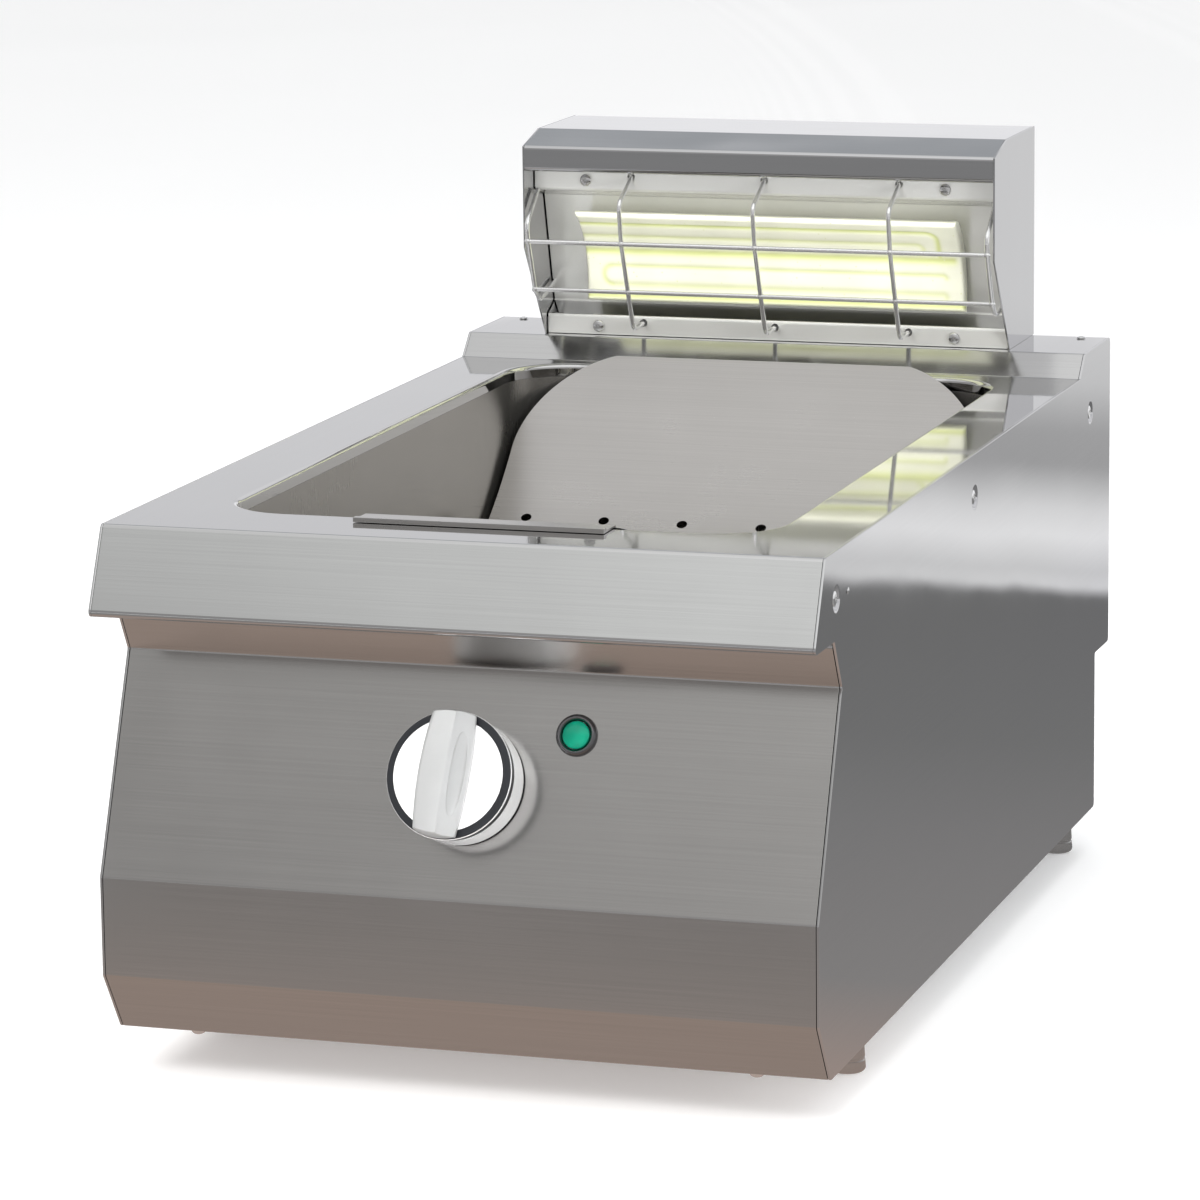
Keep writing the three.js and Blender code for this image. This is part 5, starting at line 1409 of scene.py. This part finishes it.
@dataclass
class Controls:
    """The knob with its switch, and the pilot lamp, on the leaning face of the fascia."""

    ring: Plastic = Plastic("knob_black", (0.012, 0.013, 0.016), (0.10, 0.10, 0.11), 0.42, 0.05, 900)
    # Chrome of the skirt's side bands, which with the black band between them paint a reflection and an edge
    # highlight.
    chrome_and_painted_highlight: Steel = Steel("knob_chrome_painted_highlight", (0.93, 0.93, 0.93), 0.16, 0.05, Grain.NONE, 0.001, 0.04, metal=0.5)
    disc: Plastic = Plastic("knob_white", (0.83, 0.83, 0.83), (0.90, 0.90, 0.90), 0.38, 0.006, 1500)
    silver: Plastic = Plastic("knob_silver", (0.50, 0.505, 0.505), (0.52, 0.52, 0.52), 0.40, 0.001, 500, 0.5, 0.1)
    chrome: Steel = Steel("lamp_bezel_chrome", (0.20, 0.20, 0.21), 0.20, 0.05, Grain.NONE, 0.001, 0.04)
    lens: TintedLens = TintedLens()
    diameter: float = 69.0
    base_diameter: float = 66.0
    depth: float = 28.0
    wall: float = 3.0
    face_diameter: float = 60.0
    face_height: float = 1.5
    grip_width: float = 25.0
    grip_height: float = 13.0
    grip_reach: float = 36.0
    grip_rim: float = 34.0
    scoop: Place = (4.4, 24.0, 2.7)
    rest_turn: float = 4.0
    lamp_bezel: float = 22.6
    lamp_height: float = 3.2
    lamp_lens: float = 15.0

    @staticmethod
    def down() -> Vector:
        """The direction down the leaning face."""
        lay = LAYOUT
        return Vector((0, lay.shin_y - lay.fascia_top_y, lay.shin_top_z - lay.fascia_top_z)).normalized()

    @classmethod
    def normal(cls) -> Vector:
        """The leaning face's outward direction."""
        return Vector((0, cls.down().z, -cls.down().y))

    @classmethod
    def place(cls, x: float, along: float, lift: float) -> Vector:
        """A place on the leaning face.

        Args:
            x: sideways from the middle.
            along: down from the face's top edge.
            lift: out from the face.

        Returns:
            The place in the frame.
        """
        return Vector((x, LAYOUT.fascia_top_y, LAYOUT.fascia_top_z)) + cls.down() * along + cls.normal() * lift

    @classmethod
    def seat(cls, x: float, along: float) -> Matrix:
        """Turns and moves a piece made about +Z onto the leaning face."""
        turn = Vector((0, 0, 1)).rotation_difference(cls.normal()).to_matrix().to_4x4()
        return Matrix.Translation(cls.place(x, along, 0)) @ turn

    def build(self) -> None:
        """Makes the knob and the lamp."""
        self.knob()
        self.lamp()

    def knob(self) -> None:
        """Skirt, face disc and grip, which turn together."""
        seat = self.seat(0, LAYOUT.knob_along)
        radius, base = self.diameter / 2, self.base_diameter / 2
        inner, roof, well = radius - self.wall, self.depth - self.wall, self.face_diameter / 2
        rounding = [(radius - 1.2 * (1 - cos(t)), self.depth - 1.2 * (1 - sin(t))) for t in quarter_turn(6)]
        skirt = turned([
            (0, 20.3), (3.3, 20.3), (3.3, 6.2), (8, 6.2), (8, roof), (inner, roof), (base - self.wall, 1.2),
            (base - 0.4, 1.2), (base, 1.6), (base + 0.4, 3.0), (base + 0.9, 6.0), (radius - 0.9, self.depth - 8.0),
            (radius - 0.3, self.depth - 3.2), *rounding, (well + 0.6, self.depth), (well + 0.4, self.depth - 0.15),
            (0, self.depth - 0.15),
        ], 128)
        piece = Workpiece("knob_skirt", skirt).shade(28).dress(self.ring, self.chrome_and_painted_highlight)
        # Painted reflection and highlight: the side is chrome only on a band near the base and a thin line under the
        # rounded rim. The black band between them stands for a dark reflection, and the thin chrome line is a painted
        # edge highlight.
        piece.zone(1, lambda face: face.center.xy.length > base - 1.5 and
                   (1.5 < face.center.z < self.depth - 8.0 or -1.1 < face.center.z - self.depth < -0.35))
        piece.obj.data.transform(seat)
        piece.fit("knob", "knob_black")
        low, rim = self.depth + 0.3, self.face_diameter / 2
        high = low + self.face_height
        face = turned([(0, low), (rim - 0.2, low), (rim, low + 0.2), (rim, high - 0.5), (rim - 0.2, high - 0.15),
                       (rim - 0.6, high), (0, high)], 128)
        face.transform(seat)
        Workpiece("knob_face", face).shade(28).dress(self.disc).fit("knob", "knob_white")
        self.grip(seat)

    def flank(self, share: float, low: float, high: float) -> tuple[Point, Point]:
        """Foot and top of the grip's sloping right flank, at a share of the way from its middle to its end."""
        half = self.grip_width / 2 - 2.2 * share ** 2
        return (half - 0.3, low + 2.6), (3.6 - 0.6 * share ** 2, high - 1.2 - 3.0 * share ** 2)

    def grip_section(self, share: float, low: float, high: float) -> list[Point]:
        """Outline across the grip, at a share of the way from its middle to its end.

        Args:
            share: 0 in the middle, 1 or -1 at the ends.
            low: height of the grip's foot.
            high: height of its crown in the middle.

        Returns:
            Sideways and height pairs.
        """
        half = self.grip_width / 2 - 2.2 * share ** 2
        crown = high - 3.0 * share ** 2
        foot, top = self.flank(share, low, high)
        points = [(-half, low), (half, low), (half, low + 2.0), foot]
        points += [(foot[0] + (top[0] - foot[0]) * k / 6, foot[1] + (top[1] - foot[1]) * k / 6)
                   for k in range(1, 7)]
        points += [(2.6 - k / 8 * (half + 0.4), crown - 0.5 + 0.5 * sin((k + 2) / 10 * pi)) for k in range(9)]
        corner = (2.2 - half, crown - 2.8)
        points += [(corner[0] - 2.2 * sin(t), corner[1] + 2.2 * cos(t)) for t in quarter_turn(5)[1:]]
        return points

    def grip(self, seat: Matrix) -> None:
        """The crowned bar across the face, with its lens-shaped scoop."""
        low = self.depth + self.face_height + 0.6
        high = low + self.grip_height
        shares = [k / 12 for k in range(-12, 13)]
        bar = loft([[(x, share * self.grip_reach, z) for x, z in self.grip_section(share, low, high)]
                    for share in shares])
        piece = Workpiece("knob_grip", bar)
        rim = self.grip_rim
        round_end = [(0, low - 1), (rim, low - 1)]
        round_end += [(rim - 5.4 * (1 - cos(t)), low + 2 + (high - low - 1) * sin(t)) for t in quarter_turn(8)]
        round_end += [(0, round_end[-1][1])]
        piece.keep(turned(round_end, 128))
        scoop = turned([(sin(t), -cos(t)) for t in (k / 24 * pi for k in range(25))], 64)
        (x0, z0), (x1, z1) = self.flank(0, low, high)
        slope = Matrix.Rotation(atan2(z1 - z0, x0 - x1), 4, "Y")
        scoop.transform(Matrix.Translation(((x0 + x1) / 2, 0, (z0 + z1) / 2)) @ slope
                        @ Matrix.Diagonal((*self.scoop, 1)))
        piece.cut(scoop)
        piece.ease(0.4, 36, 3).shade(38).dress(self.silver)
        piece.obj.data.transform(seat @ Matrix.Rotation(radians(-self.rest_turn), 4, "Z"))
        piece.fit("knob", "knob_silver")

    def lamp(self) -> None:
        """The lamp's dark chrome bezel and its domed green lens."""
        seat = self.seat(LAYOUT.lamp_x, LAYOUT.lamp_along)
        lens, bezel, high = self.lamp_lens / 2, self.lamp_bezel / 2, self.lamp_height
        ring = turned([
            (lens + 0.3, 0.3), (bezel - 0.2, 0.3), (bezel, 0.6), (bezel - 0.15, 1.5), (bezel - 0.6, 2.4),
            (bezel - 1.3, 3.0), (bezel - 1.9, high), (bezel - 2.4, 3.05), (lens + 0.9, 2.2), (lens + 0.45, 1.7),
            (lens + 0.3, 1.4), (lens + 0.3, 0.3),
        ], 96)
        ring.transform(seat)
        Workpiece("lamp_bezel", ring).shade(50).dress(self.chrome).fit("body", "lamp_bezel")
        dome = [(lens * cos(t), 1.6 + 1.8 * sin(t)) for t in quarter_turn(10)]
        cap = turned([(0, 0.3), (lens, 0.3), *dome[:-1], (0, 3.4)], 96)
        cap.transform(seat)
        Workpiece("lamp_lens", cap).shade(50).dress(self.lens).fit("body", "lamp_green")


@dataclass
class Fasteners:
    """Screws, rivets and feet."""

    bright: Steel = Steel("screw_steel", (0.88, 0.88, 0.88), 0.16, 0.06, Grain.NONE, 0.002, 0.06)
    side_kind: CrossScrew = CrossScrew(8.4, 1.9, 3.9, 14, 0.5)
    toe_kind: CrossScrew = CrossScrew(8, 3.4, 3.9, 9, 0.7)
    top_kind: CrossScrew = CrossScrew(6, 1.2, 3.4, 10, 0.5)
    hood_kind: CrossScrew = CrossScrew(7.5, 2.5, 3.4, 7, 0.6)
    stand_off: float = 0.15
    foot_steel: Steel = Steel("foot_steel", (0.58, 0.57, 0.56), 0.22, 0.08, Grain.NONE, 0.002, 0.06)

    def build(self) -> None:
        """Makes every screw, rivet and foot."""
        lay, off = LAYOUT, self.stand_off
        for side in Side:
            word, sign = side.word, side.value
            for row, (y, z) in zip(("front", "middle", "rear"), side_screw_places()):
                self.screw(f"side_screw_{word}_{row}", self.side_kind, (sign * 197.95, y, z), (sign, 0, 0), 20 + y)
            rivet = turned([(0, -6), (1.2, -6), (1.2, 0), *domed(3.6, 0.5, 0.8)], 32)
            place = (sign * (lay.side_x + off), lay.rivet_y, lay.side_screw_z)
            piece = Workpiece(f"side_rivet_{word}", placed(rivet, place, (sign, 0, 0)))
            piece.shade(40).dress(self.bright).fit("body", "screws")
            x, y = lay.toe_screw
            self.screw(f"toe_screw_{word}", self.toe_kind, (sign * x, y, lay.bottom_z - off), (0, 0, -1), 30)
            x, y = lay.upstand_screw
            self.screw(f"upstand_screw_{word}", self.top_kind, (sign * x, y, lay.upstand_z + off), (0, 0, 1), 15)
            for row, y, z, turn in (("upper", lay.reflector_top_y, lay.upper_screw_z, 10 * sign),
                                    ("lower", lay.reflector_low_y, lay.lower_screw_z, 38)):
                place = (sign * lay.hood_screw_x, y - 2 * off, z)
                self.screw(f"hood_screw_{row}_{word}", self.hood_kind, place, (0, -1, 0), turn)
        for word, x, y in foot_places():
            self.foot(word, x, y)

    def screw(self, name: str, kind: CrossScrew, place: Sequence[float], facing: Sequence[float],
              turn: float) -> None:
        """Makes one screw and sets it in its hole.

        Args:
            name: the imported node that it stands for.
            kind: its sizes.
            place: where its head sits.
            facing: which way its head looks.
            turn: how far its cross is turned, in degrees.
        """
        piece = kind.mesh(name, turn)
        placed(piece.obj.data, place, facing)
        piece.shade(40).dress(self.bright).fit("body", "screws")

    def foot(self, word: str, x: float, y: float) -> None:
        """One screw-in foot with its rounded tread, waist groove and stud."""
        tread, round_off, stud, groove, top = 10.0, 2.5, 3.8, 3.45, 50.0
        sole = [(tread - round_off * (1 - sin(t)), round_off * (1 - cos(t))) for t in quarter_turn(6)]
        thread = [p for k in range(11) for p in ((stud, 27 + 2 * k), (groove, 28 + 2 * k))]
        outline = [(0, 0), *sole, (9.7, 6.5), (9.2, 6.9), (9.2, 7.9), (9.6, 8.3), (8.6, 25.2), (8.1, 25.7),
                   (stud, 25.7), *thread, (3.0, top), (0, top)]
        foot = placed(turned(outline, 64), (x, y, 0))
        name = f"foot_{word}"
        Workpiece(name, foot).shade(32).dress(self.foot_steel).fit(name, "foot_steel")


@dataclass
class Service:
    """The cable gland at the back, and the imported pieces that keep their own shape."""

    black: Plastic = Plastic("gland_black", (0.02, 0.02, 0.022), (0.12, 0.12, 0.12), 0.45, 0.03, 700)
    rubber: Plastic = Plastic("grommet_rubber", (0.025, 0.024, 0.023), (0.07, 0.07, 0.07), 0.7, 0.03, 500)
    grey: Plastic = Plastic("switch_grey", (0.25, 0.27, 0.29), (0.40, 0.41, 0.42), 0.5, 0.02, 900)
    cream: Plastic = Plastic("terminal_cream", (0.70, 0.66, 0.54), (0.80, 0.77, 0.68), 0.55, 0.02, 900)
    sleeve: GlassSleeve = GlassSleeve()

    def build(self) -> None:
        """Makes the gland and finishes what is carried over."""
        self.gland()
        keeps = {
            PLAIN_STEEL: ("hood_floor", "heater_clip", "switch_nut", "switch_spindle",
                          *(f"foot_nut_{word}" for word, _, _ in foot_places())),
            self.grey: ("rotary_switch", "lamp_body", "lamp_nut"),
            self.black: ("gland_nut",), self.rubber: ("lead_grommet",), self.cream: ("terminal_block",),
            self.sleeve: ("heater_lead",),
        }
        for finish, nodes in keeps.items():
            for name in nodes:
                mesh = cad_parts[name].data
                mesh.materials.clear()
                mesh.materials.append(RACK.take(finish))
                LOG.info("%s: carried over in %s", name, finish.name)

    def gland(self) -> None:
        """The gland's hexagon, ribbed dome nut and mouth."""
        body = Workpiece("cable_gland", turned([
            (4.5, -12), (9.3, -12), (9.7, -11.5), (9.7, 0.3), (11.6, 0.3), (11.6, 6.3), (10.5, 6.3), (10.5, 12),
            (10.2, 13.5), (9.2, 15.6), (7.6, 17.4), (6.3, 18.3), (5.2, 18.3), (4.5, 17.6), (4.5, -12)], 72))
        hexagon = turned([(0, 0.3), (13, 0.3), (13, 6.3), (0, 6.3)], 6)
        body.join(hexagon).cut(rod(9, (0, 0, -13), (0, 0, 20), 48))
        ribs = []
        for k in range(12):
            rib = block((10.0, 11.4), (-0.8, 0.8), (7.2, 12.6))
            rib.transform(Matrix.Rotation(k * pi / 6, 4, "Z"))
            ribs.append(rib)
        body.join(*ribs).ease(0.3, 30)
        placed(body.obj.data, (LAYOUT.gland_x, LAYOUT.rear_low_y, LAYOUT.gland_z), (0, 1, 0))
        body.shade(34).dress(self.black).fit("body", "black_plastic")


@dataclass
class Studio:
    """Pale floor, soft lights, and the tones that the steel mirrors."""

    camera_place: Place = (0.9234, -2.9691, 0.8388)
    azimuth: float = 17.670
    elevation: float = 11.405
    roll: float = -0.675
    lens: float = 164.30
    floor_tone: float = 0.86
    glow: float = 1.3
    table: tuple[tuple[float, Color], ...] = (
        (-2.6, (0.29, 0.29, 0.30)), (-1.76, (0.27, 0.27, 0.28)), (-1.735, (0.86, 0.86, 0.90)),
        (-1.20, (0.84, 0.84, 0.88)), (-1.05, (0.28, 0.27, 0.27)), (-0.72, (0.31, 0.29, 0.28)),
        (-0.52, (0.38, 0.34, 0.32)), (-0.44, (0.46, 0.365, 0.315)), (-0.20, (0.41, 0.335, 0.30)),
        (-0.02, (0.29, 0.28, 0.275)), (0.34, (0.25, 0.245, 0.245)), (0.60, (0.21, 0.21, 0.21)),
        (1.105, (0.185, 0.185, 0.19)), (1.135, (0.84, 0.84, 0.87)), (1.20, (0.72, 0.72, 0.75)),
        (1.34, (0.96, 0.96, 1.00)), (1.46, (0.84, 0.84, 0.87)), (1.66, (0.42, 0.42, 0.44)),
        (1.84, (0.44, 0.44, 0.46)), (2.1, (0.68, 0.68, 0.71)), (2.6, (0.78, 0.78, 0.81)),
    )
    warm_reach: Point = (0.32, 0.45)
    sky_behind: tuple[tuple[float, Color], ...] = (
        (0.0, (0.98, 0.98, 1.00)), (0.125, (0.97, 0.97, 0.99)), (0.15, (0.76, 0.76, 0.78)),
        (0.20, (0.68, 0.68, 0.70)), (0.42, (0.90, 0.90, 0.92)), (0.54, (0.46, 0.48, 0.50)),
        (0.70, (0.38, 0.40, 0.42)), (0.86, (0.80, 0.80, 0.80)), (1.0, (0.90, 0.90, 0.90)),
    )
    sky_before: tuple[tuple[float, Color], ...] = (
        (0.0, (0.42, 0.42, 0.42)), (0.40, (0.44, 0.43, 0.43)), (0.52, (0.50, 0.50, 0.49)),
        (0.58, (0.92, 0.93, 0.92)), (0.8, (0.95, 0.95, 0.95)), (1.0, (0.90, 0.90, 0.90)),
    )
    turn_reach: float = 0.25
    dim_side: Point = (-0.38, -0.22)
    dim_share: Point = (0.80, 1.12)
    lights: tuple[tuple[str, Place, float, float, Color], ...] = (
        ("key", (-1.6, -1.9, 2.3), 50, 1.6, (1.0, 0.98, 0.96)),
        ("fill", (2.0, -1.4, 1.6), 22, 1.8, (0.96, 0.98, 1.0)),
        ("top", (0.0, 0.4, 2.6), 26, 2.0, (1.0, 1.0, 1.0)),
        ("low", (-0.2, -2.6, 0.35), 40, 1.2, (1.0, 1.0, 1.0)),
        ("side", (1.6, -1.0, 0.4), 16, 0.6, (1.0, 1.0, 1.0)),
    )

    def build(self) -> None:
        """Makes the camera, the floor, the mirrored table, the sky and the lights."""
        self.camera()
        self.floor()
        self.mirrored_table()
        self.sky()
        for row in self.lights:
            self.light(*row)

    def camera(self) -> None:
        """Stands the camera where the photograph was taken from."""
        az, el, roll = (radians(a) for a in (self.azimuth, self.elevation, self.roll))
        back = Vector((sin(az) * cos(el), -cos(az) * cos(el), sin(el)))
        right = Vector((cos(az), sin(az), 0))
        up = back.cross(right)
        side = right * cos(roll) + up * sin(roll)
        head = up * cos(roll) - right * sin(roll)
        data = bpy.data.cameras.new("camera")
        data.lens, data.sensor_width, data.clip_end = self.lens, 36.0, 100.0
        camera = bpy.data.objects.new("camera", data)
        camera.matrix_world = Matrix.Translation(self.camera_place) @ Matrix((side, head, back)).transposed().to_4x4()
        bpy.context.scene.collection.objects.link(camera)
        bpy.context.scene.camera = camera

    def sheet_of(self, name: str, reach: Point, z: float, material: bpy.types.Material) -> bpy.types.Object:
        """A level stage plane of that half width and half length."""
        mesh = bpy.data.meshes.new(name)
        x, y = reach
        mesh.from_pydata([(-x, -y, z), (x, -y, z), (x, y, z), (-x, y, z)], [], [(0, 1, 2, 3)])
        mesh.materials.append(material)
        plane = bpy.data.objects.new(name, mesh)
        bpy.context.scene.collection.objects.link(plane)
        return plane

    def floor(self) -> None:
        """The pale floor that the camera sees."""
        bench = FinishBench("studio_floor")
        tone = self.floor_tone
        bench.dye(bench.mix(bench.noise(3, detail=3), (tone, tone, tone), (tone + 0.02,) * 3))
        bench.set(Roughness=0.8, Emission_Color=(1, 1, 1, 1), Emission_Strength=0.22)
        self.sheet_of("studio_floor", (14, 14), -0.0005, bench.owner).visible_glossy = False

    def mirrored_table(self) -> None:
        """The bands of light and shade on the table round the object, which only the steel's mirror sees."""
        bench = NodeBench(bpy.data.materials.new("mirrored_table"))
        place = bench.axes(bench.coordinates["Object"])
        low, high = self.table[0][0], self.table[-1][0]
        stops = [((y - low) / (high - low), tuple(c / self.glow for c in tone)) for y, tone in self.table]
        bands = bench.ramp(bench.span(place["Y"], low, high), stops)
        warmth = bench.node("ShaderNodeHueSaturation")
        beside = bench.span(bench.math("ABSOLUTE", place["X"]), *self.warm_reach, 1.0, 0.1)
        bench.link(beside, warmth.inputs["Saturation"])
        bench.link(bands, warmth.inputs["Color"])
        glow = bench.node("ShaderNodeEmission")
        glow.inputs["Strength"].default_value = self.glow
        bench.link(warmth.outputs["Color"], glow.inputs["Color"])
        bench.close("ShaderNodeOutputMaterial", glow)
        card = self.sheet_of("mirrored_table", (14, 14), -0.0003, bench.owner)
        card.visible_camera = card.visible_diffuse = card.visible_shadow = False
        card.visible_transmission = card.visible_volume_scatter = False

    def sky(self) -> None:
        """The room above the table: light behind, dimmer low in front, a bluish band high behind."""
        world = bpy.data.worlds.new("room")
        bpy.context.scene.world = world
        bench = NodeBench(world)
        way = bench.axes(bench.coordinates["Generated"])
        across = bench.span(way["X"], *self.dim_side, *self.dim_share)
        shaded = bench.node("ShaderNodeVectorMath", operation="SCALE")
        bench.link(bench.ramp(way["Z"], self.sky_before), shaded.inputs[0])
        bench.link(across, shaded.inputs["Scale"])
        turn = bench.span(way["Y"], -self.turn_reach, self.turn_reach, interpolation_type="SMOOTHSTEP")
        glow = bench.node("ShaderNodeBackground")
        behind = bench.ramp(way["Z"], self.sky_behind)
        bench.link(bench.mix(turn, shaded.outputs["Vector"], behind), glow.inputs["Color"])
        bench.close("ShaderNodeOutputWorld", glow)

    def light(self, name: str, place: Sequence[float], power: float, size: float, tone: Color) -> None:
        """A large soft light that looks at the object.

        Args:
            name: its name.
            place: where it hangs, in metres.
            power: its power in watts.
            size: its side in metres.
            tone: its colour.
        """
        data = bpy.data.lights.new(name, "AREA")
        data.energy, data.size, data.color = power, size, tone
        lamp = bpy.data.objects.new(name, data)
        way = Vector((0, 0, 0.2)) - Vector(place)
        lamp.matrix_world = Matrix.Translation(place) @ way.to_track_quat("-Z", "Y").to_matrix().to_4x4()
        lamp.visible_glossy = False
        lamp.visible_camera = False
        bpy.context.scene.collection.objects.link(lamp)


def main() -> None:
    """Builds the warmer piece by piece, then the studio round it."""
    logging.basicConfig(level=logging.INFO, format="%(name)s %(message)s")
    scene = bpy.context.scene
    scene.view_settings.view_transform = "Standard"
    for assembly in (Cabinet(), Tub(), Hood(), Controls(), Fasteners(), Service(), Studio()):
        LOG.info("building %s", type(assembly).__name__)
        assembly.build()


if __name__ == "__main__":
    main()
